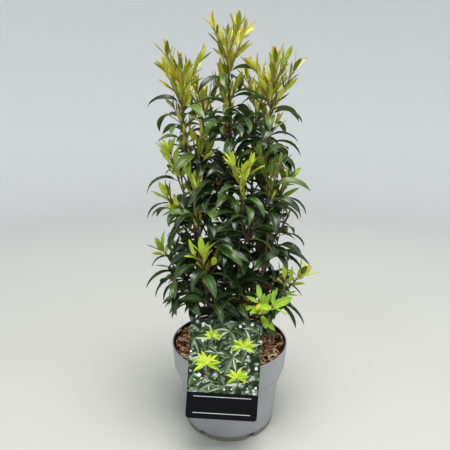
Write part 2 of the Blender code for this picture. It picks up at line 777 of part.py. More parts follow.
def tree_of(points, faces):
    return BVHTree.FromPolygons([tuple(p) for p in points], faces)


def tree_of_object(made):
    shape = made.evaluated_get(bpy.context.evaluated_depsgraph_get())
    mesh = shape.to_mesh()
    points = [made.matrix_world @ v.co for v in mesh.vertices]
    faces = [list(p.vertices) for p in mesh.polygons]
    shape.to_mesh_clear()
    return tree_of(points, faces)


def clear_of(points, faces, trees):
    """True where these faces cross none of the trees."""
    mine = tree_of(points, faces)
    return not any(mine.overlap(tree) for tree in trees)


def inside_crown(points):
    """True where no point leaves the crown's outline or hangs into the pot's rim."""
    reaches = [math.hypot(p.x - on_lines(CROWN_MIDDLE, p.z), p.y) for p in points]
    return all(p.z >= LEAF_FLOOR and reach <= on_lines(CROWN, p.z) for p, reach in zip(points, reaches))


def before_card(points):
    """True where a point hangs in front of the card."""
    top = POT_HEIGHT + CARD_TOP_ABOVE_RIM + CARD_ROOM
    reach = CARD_WIDTH / 2 + CARD_ROOM
    return any(p.z < top and p.y < card_back(p.z) and abs(p.x - CARD_CENTRE_X) < reach for p in points)


def sprig_rooms(grown):
    """Middle of the room round each sprig's tip, which other masses' leaves keep out of."""
    tips = [twigs[0].route[-1] for mass, twigs in grown if mass.young]
    return [tip + Vector((tip.x, tip.y, 0.0)).normalized() * SPRIG_ROOM_SHIFT for tip in tips]


def has_room(mass, points, rooms):
    """True where a leaf's points keep to the crown, and out of the card's front and the sprigs' rooms."""
    if before_card(points) or not (mass.stands_out or inside_crown(points)):
        return False
    if mass.young:
        return True
    middles = [(a + b) / 2 for a, b in zip(points, points[1:])]
    return all((p - room).length > SPRIG_ROOM for p in points + middles for room in rooms)


def twig_fits(mass, twig, obstacles):
    radii = [r + LEAF_CLEARANCE for r in twig.radii]
    points, faces = tube(twig.route, radii, TWIG_SIDES)
    return clear_of(points, faces, obstacles) and (mass.stands_out or inside_crown(points))


def grow_wood(limbs):
    """Each mass with its twigs. A mass turns round its bough until its stem is clear of the limbs and of
    the other masses' twigs, and leaves out a branch that isn't."""
    grown, obstacles = [], list(limbs)
    for mass in plan_masses():
        for offset in BEARING_TRIES:
            twigs = twigs_of(mass, offset)
            if twig_fits(mass, twigs[0], obstacles):
                kept = [twig for twig in twigs if twig_fits(mass, twig, obstacles)]
                obstacles.append(tree_of(*joined(twig_solids(kept))))
                grown.append((mass, kept))
                break
    return grown


def twig_solids(twigs):
    return [tube(twig.route, twig.radii, TWIG_SIDES) for twig in twigs]


def place_leaves(mass, twigs, others, rooms):
    """The leaves of a mass that keep to its space, each with its turn and size. What would cross a limb,
    a neighbour, another leaf or the outline is turned or shortened, and skipped where that doesn't help."""
    wood_trees = [tree_of(*solid) for solid in twig_solids(twigs)]
    leaf_trees, placed = [], []
    for number, twig in enumerate(twigs):
        own = wood_trees[:number] + wood_trees[number + 1 :]
        for leaf in twig.leaves:
            for turn, size in LEAF_TRIES:
                whole = leaf_solid(leaf, turn, size, 0.0, LEAF_CLEARANCE)
                if not has_room(mass, whole[0], rooms):
                    continue
                blade = leaf_solid(leaf, turn, size, LEAF_BLADE_START, LEAF_CLEARANCE)
                if clear_of(*whole, others) and clear_of(*blade, own + leaf_trees):
                    placed.append((leaf, turn, size))
                    leaf_trees.append(tree_of(*blade))
                    break
    return placed


def fuse(name, shapes, finish):
    """One body from overlapping closed shapes, by a union on a collection that is then removed."""
    body = object_from(name, *shapes[0], finish)
    group = bpy.data.collections.new(f"{name}_pieces")
    bpy.context.scene.collection.children.link(group)
    for points, faces in shapes[1:]:
        piece = object_from(f"{name}_piece", points, faces)
        bpy.context.scene.collection.objects.unlink(piece)
        group.objects.link(piece)
    union = body.modifiers.new("union", "BOOLEAN")
    union.operation = "UNION"
    union.solver = "MANIFOLD"
    union.operand_type = "COLLECTION"
    union.collection = group
    graph = bpy.context.evaluated_depsgraph_get()
    body.data = bpy.data.meshes.new_from_object(body.evaluated_get(graph))
    body.modifiers.clear()
    for piece in list(group.objects):
        bpy.data.objects.remove(piece)
    bpy.data.collections.remove(group)
    keep_largest(body)
    return body


def keep_largest(body):
    """Drops every scrap that isn't joined to the largest connected part of the mesh."""
    shape = bmesh.new()
    shape.from_mesh(body.data)
    left, parts = set(shape.verts), []
    while left:
        stack, part = [left.pop()], []
        while stack:
            vert = stack.pop()
            part.append(vert)
            near = {edge.other_vert(vert) for edge in vert.link_edges} & left
            left -= near
            stack += near
        parts.append(part)
    parts.sort(key=len)
    for part in parts[:-1]:
        bmesh.ops.delete(shape, geom=part, context="VERTS")
    shape.to_mesh(body.data)
    shape.free()


def make_foliage(limbs):
    """All the masses: first the wood of every one, then their leaves."""
    grown = grow_wood(limbs)
    rooms = sprig_rooms(grown)
    wood_trees = [tree_of(*joined(twig_solids(twigs))) for _, twigs in grown]
    finished = []
    for number, (mass, twigs) in enumerate(grown):
        leaves = place_leaves(mass, twigs, limbs + finished + wood_trees[number + 1 :], rooms)
        shapes = twig_solids(twigs) + [leaf_solid(*leaf) for leaf in leaves]
        finished.append(tree_of(*joined(shapes)))
        fuse(mass.name, shapes, mass.finish)


def main():
    clear_scene()
    limbs = [make_pot(), make_mix(), make_card(), make_stake("label_stake", finish="label_stake")]
    limbs += [make_trunk(), *[make_bough(name) for name in BOUGHS]]
    bpy.context.view_layer.update()
    make_foliage([tree_of_object(limb) for limb in limbs])


main()
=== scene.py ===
"""Looks of the potted Portuguese laurel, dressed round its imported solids.

Metres, +Z up. The origin is at the middle of the pot's underside, and -Y is the side with the card.
Bearings and rises are in degrees, bearings counted from +X towards +Y.
"""

import math
import random
from dataclasses import dataclass

import bmesh
import bpy
from mathutils import Matrix, Vector, noise
from mathutils.bvhtree import BVHTree


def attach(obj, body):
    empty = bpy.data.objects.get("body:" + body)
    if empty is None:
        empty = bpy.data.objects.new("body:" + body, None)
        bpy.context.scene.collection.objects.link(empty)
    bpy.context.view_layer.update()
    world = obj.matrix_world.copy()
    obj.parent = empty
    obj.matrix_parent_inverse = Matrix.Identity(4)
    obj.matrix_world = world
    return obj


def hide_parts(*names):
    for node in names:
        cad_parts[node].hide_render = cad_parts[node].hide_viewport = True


UP = Vector((0.0, 0.0, 1.0))
FIT = 0.0003
SHARP = 60.0  # edges that turn by more than this stay sharp
SEED = 41
MOST_TRIANGLES = 168_000  # a piece ends with the mass that takes it past this
LAYERS = (1.0, 2.0, 4)  # fall, spacing and count of a layered noise's layers

# Pot
POT_HEIGHT = 0.14
RIM_RADIUS = 0.095
RIM_LIP_WIDTH = 0.0024
RIM_LIP_DEPTH = 0.003
COLLAR_FOOT_RADIUS = 0.0922
COLLAR_FOOT_HEIGHT = 0.102
SHOULDER_FOOT_RADIUS = 0.0824
SHOULDER_FOOT_HEIGHT = 0.075
WALL_FOOT_RADIUS = 0.0758
WALL = 0.0016
FOOT_HEIGHT = 0.0095
FOOT_OUTER_RADIUS = 0.0746
FOOT_INNER_RADIUS = 0.07
FOOT_STEP = 0.0005
CENTRE_PAD_RADIUS = 0.014
FOOT_GAPS = 6
FOOT_GAP_WIDTH = 0.0145
FOOT_GAP_DEPTH = 0.012
FOOT_GAP_HEIGHT = 0.0085
FOOT_GAP_FIRST_BEARING = 297.0
DRAIN_START_RADIUS = 0.052
DRAIN_LENGTH = 0.012
DRAIN_WIDTH = 0.0078
POT_LEVELS = (
    (FOOT_HEIGHT, WALL_FOOT_RADIUS),
    (SHOULDER_FOOT_HEIGHT, SHOULDER_FOOT_RADIUS),
    (COLLAR_FOOT_HEIGHT, COLLAR_FOOT_RADIUS),
    (POT_HEIGHT, RIM_RADIUS),
)
POT_SIDES = 144
POT_EDGE = 0.0009
POT_SHARP = 40.0
ROUNDING_POINTS = 4
ROUNDING_MOST = 0.45  # of the edges beside a corner

# Potting mix and what lies on it
MIX_HEIGHT = 0.133
MIX_EDGE_LIFT = 0.0022
MIX_WALL_GAP = 0.0006
MIX_RINGS = 40
MIX_SIDES = 120
MIX_ROUGHNESS = 0.0011
MIX_LUMPS = 90.0
MIX_LUMP_SLICE = 0.3  # level at which the noise is cut
MIX_BARE_RADIUS = 0.015
LOOSE_EDGE_GAP = 0.0012
FIBRES = 820
FIBRE_LENGTH = (0.01, 0.028)
FIBRE_RADIUS = (0.0005, 0.0013)
FIBRE_CURL = 130.0
FIBRE_LIFT = (0.0006, 0.005)
FIBRE_ARCH = (0.12, 0.8)  # start and stretch of its half turn
FIBRE_WANDER = 0.0006
FIBRE_SINK = 0.0004
FIBRE_SWELL = (0.5, 1.0, 1.0, 0.9, 0.8, 0.3)
FIBRE_SPREAD = (0.03, 1.0)  # of the area that they lie on
FIBRE_ROOM = 0.014  # round the trunk
FIBRE_TONES = ("fibre_dark", "fibre_brown", "fibre_dark", "fibre_orange", "fibre_pale", "fibre_brown")
CHIPS = 480
CHIP_LENGTH = (0.009, 0.02)
CHIP_WIDTH = (0.14, 0.3)  # of its length
CHIP_HEIGHT = (0.0006, 0.0016)
CHIP_TILT = 0.5
CHIP_ROLL = 0.4
CHIP_LIFT = 0.0008
CHIP_CORNERS = 7
CHIP_REACH = (0.75, 1.1)
CHIP_SPREAD = (0.04, 0.92)
CHIP_ROOM = 0.016
CHIP_SHARP = 20.0

# Card that leans on the rim, and the stake behind it
CARD_WIDTH = 0.105
CARD_LENGTH = 0.148
CARD_THICKNESS = 0.0008
CARD_CORNER_RADIUS = 0.005
CARD_CORNER_STEPS = 8
CARD_CENTRE_X = -0.009
CARD_TOP_ABOVE_RIM = 0.074
CARD_TILT = math.radians(10.5)
CARD_ROLL = math.radians(3.5)
CARD_BAND = 0.27  # of its length
CARD_SHARP = 30.0

# Print on the card: a leaf's outline in shares of its length and width, a young shoot's place and size
PRINT_LAYER = 0.000002
PRINT_INSET = 0.0001
PRINT_EDGE = 0.001
PRINT_DROOP = 0.55
PRINT_SIZES = (1.0, 0.75, 0.5, 0.3)
PRINT_FLECKS = 100
FLECK_RADIUS = (0.0008, 0.003)
FLECK_SIDES = 10
FLECK_TONES = ("card_white", "print_pale", "print_black", "print_mist")
PRINT_SHOOTS = 20
PRINT_LEAVES = 9
PRINT_LEAF_TURNS = (-148.0, 37.0, 14.0)  # of the first, from one to the next, and how far they stray
PRINT_LEAF_LENGTH = (0.015, 0.03)
PRINT_LEAF_WIDTH = (0.22, 0.32)  # of its length
PRINT_LEAF_OUTLINE = ((0.0, 0.0), (0.2, 0.62), (0.45, 1.0), (0.7, 0.74), (0.88, 0.3), (1.0, 0.0))
PRINT_YOUNG_SHOOTS = (
    (0.026, 0.036, 0.019),
    (-0.026, 0.008, 0.022),
    (0.02, -0.01, 0.018),
    (-0.02, 0.05, 0.013),
)
PRINT_YOUNG_RINGS = ((1.0, 7, 118.0), (0.8, 6, 84.0), (0.6, 4, 42.0))  # size, leaves, fan
PRINT_YOUNG_STRAY = 9.0
PRINT_YOUNG_WIDTH = 0.27
PRINT_STEM = (0.9, 0.05, 0.1)  # foot below the shoot, turn and width
PRINT_OLD_TONES = (
    ("print_mid", "print_deep"),
    ("print_grey", "print_deep"),
    ("print_deep", "print_mid"),
    ("print_pale", "print_mid"),
    ("print_mid", "print_grey"),
)
PRINT_YOUNG_TONES = (("print_lime", "print_gold"), ("print_gold", "print_lime"), ("print_lime", "print_moss"))
RULE_WIDTH = 0.0007
RULE_INSET = 0.01
RULE_FROM_TOP = 0.0065
RULE_FROM_FOOT = 0.0085

# Boughs: bearing and spread of the tip, its height, the radii of the foot and of the tip
TRUNK_HEIGHT = 0.024
TRUNK_RADII = ((0.0, 0.0175), (0.0032, 0.0135), (0.009, 0.0112), (0.016, 0.0143), (0.024, 0.0165))
KNUCKLE_RADIUS = 0.0165
KNUCKLE_CENTRE = UP * (MIX_HEIGHT + FIT + TRUNK_HEIGHT)
BOUGHS = {
    "centre": (95.0, 0.004, 0.455, 0.0058, 0.0029),
    "left": (186.0, 0.063, 0.425, 0.0039, 0.0022),
    "right": (352.0, 0.052, 0.425, 0.0039, 0.0022),
    "back_left": (128.0, 0.064, 0.4, 0.0039, 0.002),
    "back_right": (55.0, 0.066, 0.405, 0.0039, 0.002),
    "front_left": (228.0, 0.068, 0.33, 0.0038, 0.0019),
    "front": (286.0, 0.052, 0.35, 0.0038, 0.0019),
    "front_right": (320.0, 0.072, 0.35, 0.0038, 0.0021),
}
MIDDLE_BOUGH = "centre"
BOUGH_RISE = 38.0
BOUGH_STEPS = 6
BOUGH_WANDER = 0.0025
BOUGH_WANDER_TURN = 100.0
BOUGH_FOOT_PULL = 0.75  # of the spread
MIDDLE_FOOT_PULL = 0.3  # of the rise
BOUGH_TIP_PULL = 0.42  # of the rise
BOUGH_TIP_LEAN = 0.08

# Heads: length of the leader, how many young shoots crowd its top, how far they lean out, and their colour
HEADS = {
    "centre": (0.134, 4, 0.58, ""),
    "left": (0.119, 4, 0.68, ""),
    "right": (0.117, 4, 0.66, ""),
    "back_left": (0.11, 2, 0.55, ""),
    "back_right": (0.112, 2, 0.55, ""),
    "front_left": (0.052, 1, 0.5, "fresh"),
    "front": (0.052, 1, 0.5, "lime"),
    "front_right": (0.056, 1, 0.5, "moss"),
}
LEADER_TAPER = (1.0, 0.92, 0.74, 0.5)  # of the bough's tip radius
LEADER_LIFT = 0.25
LEADER_YOUNG_SHARE = 0.25
YOUNG_SHOOT_TOP = 0.006
YOUNG_SHOOT_LEAN = (0.75, 1.25)
YOUNG_SHOOT_SPACING = 0.012
YOUNG_SHOOT_LENGTH = (0.022, 0.032)
YOUNG_SHOOT_GROWTH = 0.0085
YOUNG_SHOOT_LIFT = 0.3
YOUNG_SHOOT_RADIUS = 0.0014
YOUNG_SHOOT_TURN = 55.0

# Side shoots in young leaf: bough, height, bearing, length, rise, young share, spread of leaves, and colour
SPRIGS = {
    "low_left": ("left", 0.222, 182.0, 0.092, 34.0, 0.5, 1.8, "fresh"),
    "upper_left": ("left", 0.372, 205.0, 0.078, 62.0, 0.55, 1.4, "lime"),
    "mid_left": ("left", 0.33, 190.0, 0.06, 40.0, 0.5, 1.5, "lime"),
    "front_left": ("front_left", 0.255, 268.0, 0.06, 52.0, 0.6, 1.8, "lime"),
    "middle": ("left", 0.4, 320.0, 0.068, 66.0, 0.55, 1.3, "olive"),
    "upper_right": ("right", 0.335, 350.0, 0.078, 50.0, 0.55, 1.5, "fresh"),
    "low_right": ("right", 0.184, 348.0, 0.112, 22.0, 0.5, 1.6, "lime"),
    "foot_right": ("front_right", 0.198, 300.0, 0.07, 8.0, 1.0, 2.4, "bright"),
}

# Side shoots that fill the front of the crown: bough, height, bearing, length, rise
FILLERS = {
    "inner_left": ("left", 0.318, 312.0, 0.062, 50.0),
    "inner_front": ("centre", 0.352, 246.0, 0.062, 44.0),
}

# Side shoots all round each bough
FIRST_SIDE_HEIGHT = 0.176
SIDE_SPACING = 0.066
SIDE_STAGGER = 0.011
SIDE_TOP_CLEARANCE = 0.014
SIDE_RISE = ((0.17, 26.0), (0.3, 42.0), (0.5, 55.0))
SIDE_LENGTH = ((0.2, 0.082), (0.27, 0.066), (0.34, 0.054), (0.5, 0.052))
MIDDLE_SIDE_LENGTH = 0.054
SIDE_SWING = 115.0
SIDE_SWING_STEP = 0.618
SIDE_SWING_START = 0.3
GOLDEN_TURN = 137.5
BEARING_TRIES = (0.0, 22.0, -22.0, 45.0, -45.0, 70.0, -70.0)
SHOOT_LIFT = 0.7
SHOOT_STEPS = 2
ELBOW = 0.0035
BRANCHES = ((0.28, 1.0), (0.56, -1.0))  # place along the shoot, and the side it goes to
BRANCH_SWING = (60.0, 90.0)
BRANCH_SPREAD = 1.1
BRANCH_LENGTH = (0.4, 0.52)  # of the shoot's
BRANCH_LIFT = 0.9
BRANCH_RADIUS = 0.0015
BRANCH_TURN = 70.0
BRANCH_YOUNG = 0.8

# Outline of the crown: height and radius, and height and the X of its middle
CROWN = (
    (0.13, 0.1),
    (0.16, 0.118),
    (0.2, 0.126),
    (0.27, 0.124),
    (0.33, 0.102),
    (0.4, 0.096),
    (0.52, 0.098),
    (0.6, 0.104),
    (0.65, 0.06),
)
CROWN_MIDDLE = ((0.13, 0.004), (0.2, 0.012), (0.27, 0.012), (0.34, 0.0), (0.5, -0.002))
LEAF_FLOOR = 0.137

# Room kept free of leaves: in front of the card, round the tips of the sprigs, and round a new twig
CARD_ROOM = 0.004
SPRIG_ROOM = 0.0155  # times how far its leaves open
SPRIG_ROOM_SHIFT = 0.01
TWIG_GAP = 0.0004

# Kinds of twigs: the first leaf's distance up it, the leaves' spacing, how many are at its tip, their size
TWIG_KINDS = {
    "shoot": (0.0135, 0.0122, 2, 1.0),
    "sprig": (0.0135, 0.0122, 4, 1.0),
    "branch": (0.008, 0.0122, 2, 0.94),
    "leader": (0.004, 0.0086, 4, 1.0),
    "young_shoot": (0.007, 0.0122, 3, 1.0),
    "fine": (0.005, 0.011, 2, 1.0),
    "fine_on_head": (0.005, 0.0092, 2, 1.0),
}
TWIG_SIDES = 3
TWIG_RADIUS = 0.0017
TWIG_TIP_RADIUS = 0.0011

# Leaves, as the solids have them. Where age makes a difference, the old ones' value comes first
LEAF_LENGTH = ((0.052, 0.068), (0.031, 0.043))
LEAF_WIDTH = (0.36, 0.29)  # of its length
LEAF_SPREAD = ((46.0, 66.0), (18.0, 36.0))
LEAF_WIDTH_RANGE = (0.88, 1.14)
OLD_LEAF_TIP_DROP = (34.0, 72.0)
OLD_LEAF_LIFT = 0.25
OLD_LEAF_FACING = 1.5
YOUNG_LEAF_BEND = (-14.0, 14.0)
LEAF_ROLL = 24.0
LEAF_THICKNESS = 0.022
LEAF_WIDEST = 0.45
LEAF_BLADE_START = 0.15
LEAF_STEPS = 20
LEAF_PLACE = 0.4
TIP_LEAF_STEP = 0.0008
TIP_LEAF_TURN = 40.0
TIP_LEAF_SIZE = 0.85
TIP_LEAF_SPREAD = 0.75
LEAF_TRIES = ((0.0, 1.0), (26.0, 1.0), (-26.0, 1.0), (0.0, 0.82), (50.0, 0.9), (-50.0, 0.9))  # turn, size

# Finer growth than the solids have, with the old leaves' value first
TRUE_WIDTH = (0.71, 0.87)  # of the solid leaf's, and so the next three
TRUE_LENGTH = (1.0, 0.84)
TRUE_ROLL = (1.6, 1.0)
TRUE_DROP = 1.2
TIP_GROWTH = 0.015
SPRIG_LEAF_LENGTH = 0.92
SPRIG_LEAF_WIDTH = 1.1
SPRIG_TIP_GROWTH = 0.003
TIP_REACH = 0.004
EXTRA_LEAF_START = (0.9, 0.8)  # of the twig at most, and of the way to its first leaf
EXTRA_LEAF_STEP = 0.07
EXTRA_LEADER_STEP = 0.012
EXTRA_YOUNG_STEP = 0.009
EXTRA_SPRIG_STEP = 0.018
EXTRA_LEAF_SIZE = ((0.8, 1.02), (0.72, 1.0))
FINE_TWIG_LENGTH = (0.018, 0.034)
FINE_TWIG_RADII = (0.0009, 0.0006)
FINE_TWIGS = (
    ("fine", (0.6,), 1.1, (0.72, 0.96)),  # kind, places, lean and the size of the leaves
    ("fine_on_head", (0.3, 0.44, 0.56, 0.66, 0.75, 0.83, 0.91), 0.75, (0.74, 1.0)),
)
HEAD_TWIGS_MORE = 3  # than the head has young shoots
TUFT_LENGTH = (0.005, 0.011)
TUFT_LEAN = 0.9
TUFT_LEAF_SIZE = (0.34, 0.56)
TUFT_LEAVES = 3
TUFT_STRAY = 60.0
TONE_SHARE = (0.7, 0.8)  # of a twig's leaves have the same tone
FINE_CLEARANCE = 0.0001
STALK_SHARE = 0.13  # of the leaf's length
STALK_SWELL = ((0.0, 1.25), (0.1, 1.0), (0.2, 0.8), (0.3, 0.4))  # place on the leaf, share of the radius
STALK_SINK = 0.7  # of the radius
STALK_RADIUS = 0.00062
BLADE_ROWS = 10
BLADE_END = 0.04  # of a half turn, left out at each end
BLADES = ((0.44, 0.72, 0.92), (0.48, 0.82, 0.9))  # where it is widest, and how it swells and tapers
BLADE_LEAST_WIDTH = 0.6  # of the stalk's radius
BLADE_HALF_THICKNESS = 0.00013
BLADE_FOLD = 0.34
BLADE_MIDWAY = 0.55  # of the half width, where the edge between rib and rim is
BLADE_SINKS = ((2, 0.2), (3, 0.2), (1, -1.0), (4, -1.0), (6, 1.0), (7, 2.0), (8, 1.0))  # corner, thicknesses
BLADE_RIPPLE = 0.07
RIPPLE_TURN = 9.0
RIPPLE_SHIFT = 2.0
RIB_HALF_WIDTH = 0.00042
RIB_TAPER = 1.15
YOUNG_TIP_ROW = 7
UNDER_STRIPS = 4
LEAF_SHARP = 50.0
TRUE_TWIG_SIDES = 6
TRUE_TWIG_STEPS = 6
TWIG_KNOTS = (0.1, 9.0)  # swelling, and turn from one point to the next
BUD_LENGTH = (0.0025, 0.0045)
BUD_LEAN = 0.9
BUD_SWELL = ((0.0, 0.0007), (0.35, 0.0013), (0.7, 0.0009), (1.0, 0.0002))
BUD_SIDES = 5
BUD_SINK = 0.0004
BUD_CHANCE = 0.22

# Bark: how deep its ridges, rings and broad lumps are, and how its noises stretch
BARK_RIDGES = 0.1
BARK_RINGS = 0.05
BARK_RIDGE_STRETCH = 0.35
BARK_RING_STRETCH = 3.0
BARK_RING_GRAIN = 0.8
STOCK_LUMP = 0.34
STOCK_LUMP_TURN = 1.7
STOCK_LUMP_RISE = 55.0
STOCK_RINGS = 24
STOCK_SIDES = 40
STOCK_GRAIN = 300.0
BOUGH_SIDES = 16
BOUGH_EASING = 16
BOUGH_GRAIN = 420.0
BOUGH_SINK = 0.004

# Stage, lights and camera: the floor sweeps up into a wall, each light has a place, size and power
STAGE_RADIUS = 1.6
STAGE_SWEEP = 1.2
STAGE_HEIGHT = 4.0
STAGE_SIDES = 96
# Distances over which the floor's colour goes from its own to the backdrop's: painted shade near the plant,
# where the overhead lamp is strongest, and painted light further out, where its light falls off
FLOOR_PAINTED_LIGHT_SPAN = (0.5, 2.5)  # away from the plant
LIGHTS = {
    "overhead": ((0.15, -0.35, 2.1), 1.2, 54.0),
    "fill_left": ((-1.3, -1.2, 1.1), 1.0, 8.0),
    "fill_right": ((1.4, -0.9, 0.9), 1.0, 7.0),
}
LIGHT_TARGET = (0.0, 0.0, 0.35)
SKY_COLOUR = (0.98, 0.99, 1.0, 1.0)
SKY_STRENGTH = 0.6
CAMERA_PLACE = (-0.0075, -0.637, 0.496)
CAMERA_DIP = 14.11
CAMERA_SENSOR = 36.0
CAMERA_LENS = 33.6
CAMERA_NEAREST = 0.01

# Wax on the old leaves
COAT_ROUGHNESS = 0.22

# Plain colours, as red, green and blue out of 255
COLOURS = {
    "old_dark": (22, 39, 16),
    "old_deep": (32, 54, 20),
    "old_mid": (50, 78, 28),
    "old_warm": (69, 85, 28),
    "old_light": (82, 107, 45),
    "old_rib": (110, 132, 64),
    "old_under": (92, 112, 54),
    "fresh": (146, 172, 48),
    "lime": (182, 202, 56),
    "moss": (92, 116, 42),
    "bright": (142, 184, 50),
    "olive": (144, 156, 28),
    "olive_deep": (106, 116, 20),
    "olive_pale": (202, 206, 86),
    "gold": (178, 172, 44),
    "bronze": (182, 142, 50),
    "young_rib": (200, 202, 84),
    "stalk": (108, 84, 48),
    "young_stalk": (186, 156, 92),
    "twig": (72, 50, 36),
    "twig_young": (128, 116, 58),
    "bud": (148, 126, 58),
    "bark_dark": (52, 38, 31),
    "bark_light": (108, 87, 69),
    "bark_pore": (150, 122, 96),
    "pot": (148, 150, 153),
    # painted shade on the pot's recessed foot ring
    "pot_foot": (114, 113, 107),
    "pot_inside": (22, 22, 24),
    "soil": (48, 32, 24),
    "fibre_dark": (110, 75, 52),
    "fibre_brown": (220, 164, 118),
    "fibre_orange": (246, 196, 142),
    "fibre_pale": (255, 238, 200),
    "card_white": (240, 242, 240),
    "card_black": (14, 14, 18),
    "card_edge": (104, 106, 106),
    "print_black": (14, 22, 14),
    "print_deep": (30, 46, 28),
    "print_mid": (74, 96, 50),
    "print_grey": (122, 140, 118),
    "print_pale": (190, 204, 178),
    "print_mist": (168, 176, 176),
    "print_lime": (176, 212, 40),
    "print_gold": (214, 224, 88),
    "print_moss": (128, 164, 40),
    "print_stem": (112, 70, 56),
    "stake": (226, 226, 222),
    "floor": (179, 179, 173),
    "backdrop": (216, 219, 220),
}
OLD_TONES = ("old_dark", "old_deep", "old_dark", "old_mid", "old_deep", "old_mid", "old_warm", "old_light")
# Darker tones for the old leaves of side shoots low in the crown: painted shade of the crown's lower part
PAINTED_SHADE_LOW_TONES = ("old_dark", "old_deep", "old_dark", "old_mid", "old_deep", "old_dark", "old_deep", "old_mid")
PAINTED_SHADE_BELOW = 0.27
HEAD_TONES = ("olive", "olive_deep", "olive", "olive_pale", "olive", "gold", "olive_deep", "olive_pale")


@dataclass
class Leaf:
    root: Vector
    axis: Vector
    turn: float
    spread: float
    length: float
    width: float
    roll: float
    bend: float
    drop: float
    young: bool
    tone: str = "old_deep"


@dataclass
class Twig:
    route: list
    radii: list
    leaves: list
    young: bool = False


@dataclass
class Mass:
    """A head where it has no height, and otherwise a side shoot, which stands out where it is young."""

    name: str
    bough: str
    height: float = 0.0
    bearing: float = 0.0
    length: float = 0.0
    rise: float = 0.0
    young: float = 0.0
    opening: float = 1.0
    tone: str = ""

    @property
    def stands_out(self):
        return self.height == 0.0 or self.young > 0.0


class Shape:
    """Points, faces and the finish of each face, gathered for one piece."""

    def __init__(self):
        self.points = []
        self.faces = []
        self.finishes = []

    def add(self, points, faces, finish):
        """One finish for all the faces, or one for each."""
        shift = len(self.points)
        self.points += points
        self.faces += [[c + shift for c in face] for face in faces]
        self.finishes += [finish] * len(faces) if isinstance(finish, str) else finish
        return self

    def triangles(self):
        return sum(len(face) - 2 for face in self.faces)

    def made(self, name, sharp=None):
        """The object, smooth apart from edges sharper than an angle."""
        mesh = bpy.data.meshes.new(name)
        mesh.from_pydata([tuple(p) for p in self.points], [], self.faces)
        used = sorted(set(self.finishes))
        for finish in used:
            mesh.materials.append(material(finish))
        mesh.polygons.foreach_set("material_index", [used.index(f) for f in self.finishes])
        if sharp:
            smooth(mesh, sharp)
        return put(name, mesh)

    def piece(self, name, slot, sharp=None):
        """The finished piece, which rides on the root body."""
        made = self.made(name, sharp)
        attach(made, "root")
        return made


def put(name, data):
    """A new object in the scene."""
    made = bpy.data.objects.new(name, data)
    bpy.context.scene.collection.objects.link(made)
    return made


def smooth(mesh, sharp):
    mesh.shade_smooth()
    mesh.set_sharp_from_angle(angle=math.radians(sharp))


# Materials


def linear(name, strength=1.0):
    """A named colour as a shader takes it, darker or paler by its strength."""
    shares = [value / 255 for value in COLOURS[name]]
    light = [s / 12.92 if s <= 0.04045 else ((s + 0.055) / 1.055) ** 2.4 for s in shares]
    return (*[min(1.0, c * strength) for c in light], 1.0)


@dataclass
class Finish:
    """How a material looks. A grain is the scale, the detail and the stretch of a noise. The stops are
    places in a grain, or on the floor's way outwards, each with a colour, which is the material's own where
    it has no name, and its strength. The relief is a grain, its strength and its depth, and the gloss a
    grain and its range."""

    roughness: float
    specular: float
    grain: tuple
    stops: tuple
    relief: tuple = ()
    gloss: tuple = ()
    coat: float = 0.0


def own_tones(places, dark, pale):
    """Stops that run from a dark to a pale shade of the material's own colour."""
    return tuple((place, "", strength) for place, strength in zip(places, (dark, 1.0, pale)))


def leathery(roughness, specular, coat=0.0):
    """A leaf: a mottled green, fine veins in relief and a waxy gloss."""
    return Finish(
        roughness,
        specular,
        grain=(95.0, 3.0),
        stops=own_tones((0.25, 0.55, 0.8), dark=0.72, pale=1.25),
        relief=((900.0, 2.0), 0.25, 0.0003),
        gloss=((60.0, 2.0), roughness - 0.08, roughness + 0.1),
        coat=coat,
    )


def inked(roughness=0.4, specular=0.25):
    """Ink on card, with the slight mottle of a printed picture."""
    tones = own_tones((0.3, 0.55, 0.8), dark=0.82, pale=1.18)
    return Finish(roughness, specular, grain=(240.0, 3.0), stops=tones, relief=((900.0, 2.0), 0.05, 0.0002))


TWIG_FINISH = Finish(
    roughness=0.55,
    specular=0.4,
    grain=(350.0, 3.0, (1.0, 1.0, 0.3)),
    stops=own_tones((0.3, 0.6, 0.85), dark=0.6, pale=1.5),
    relief=((1500.0, 2.0), 0.4, 0.0002),
)
BARK_FINISH = Finish(
    roughness=0.78,
    specular=0.3,
    grain=(260.0, 6.0, (1.0, 1.0, 0.22)),
    stops=((0.28, "bark_dark", 1.0), (0.62, "bark_light", 1.0), (0.86, "bark_pore", 1.0)),
    relief=((420.0, None, (1.0, 1.0, 2.6)), 0.8, 0.0008),
)
POT_FINISH = Finish(
    roughness=0.42,
    specular=0.5,
    grain=(11.0, 5.0, (1.0, 1.0, 0.45)),
    stops=own_tones((0.3, 0.58, 0.82), dark=0.9, pale=1.25),
    relief=((2600.0, 2.0), 0.12, 0.0002),
    gloss=((30.0, 6.0, (1.0, 1.0, 3.0)), 0.3, 0.58),
)
POT_INSIDE_FINISH = Finish(
    roughness=0.5,
    specular=0.4,
    grain=(45.0, 5.0),
    stops=((0.45, "", 1.0), (0.9, "soil", 1.2)),
    relief=((1200.0, 2.0), 0.2, 0.0003),
)
SOIL_FINISH = Finish(
    roughness=0.95,
    specular=0.2,
    grain=(420.0, 8.0),
    stops=((0.35, "", 0.45), (0.6, "", 1.0), (0.8, "fibre_dark", 1.0)),
    relief=((520.0, None), 0.9, 0.0012),
)
FIBRE_FINISH = Finish(
    roughness=0.85,
    specular=0.25,
    grain=(500.0, 4.0),
    stops=own_tones((0.25, 0.55, 0.85), dark=0.55, pale=1.4),
    relief=((2200.0, 3.0), 0.6, 0.0004),
)
GROUND_FINISH = Finish(
    roughness=0.4,
    specular=0.25,
    grain=(105.0, 4.0, (1.0, 1.0, 1.3)),
    stops=(
        (0.38, "print_black", 1.0),
        (0.48, "print_deep", 1.0),
        (0.56, "print_mid", 1.0),
        (0.64, "print_mist", 1.0),
        (0.76, "card_white", 1.0),
    ),
)
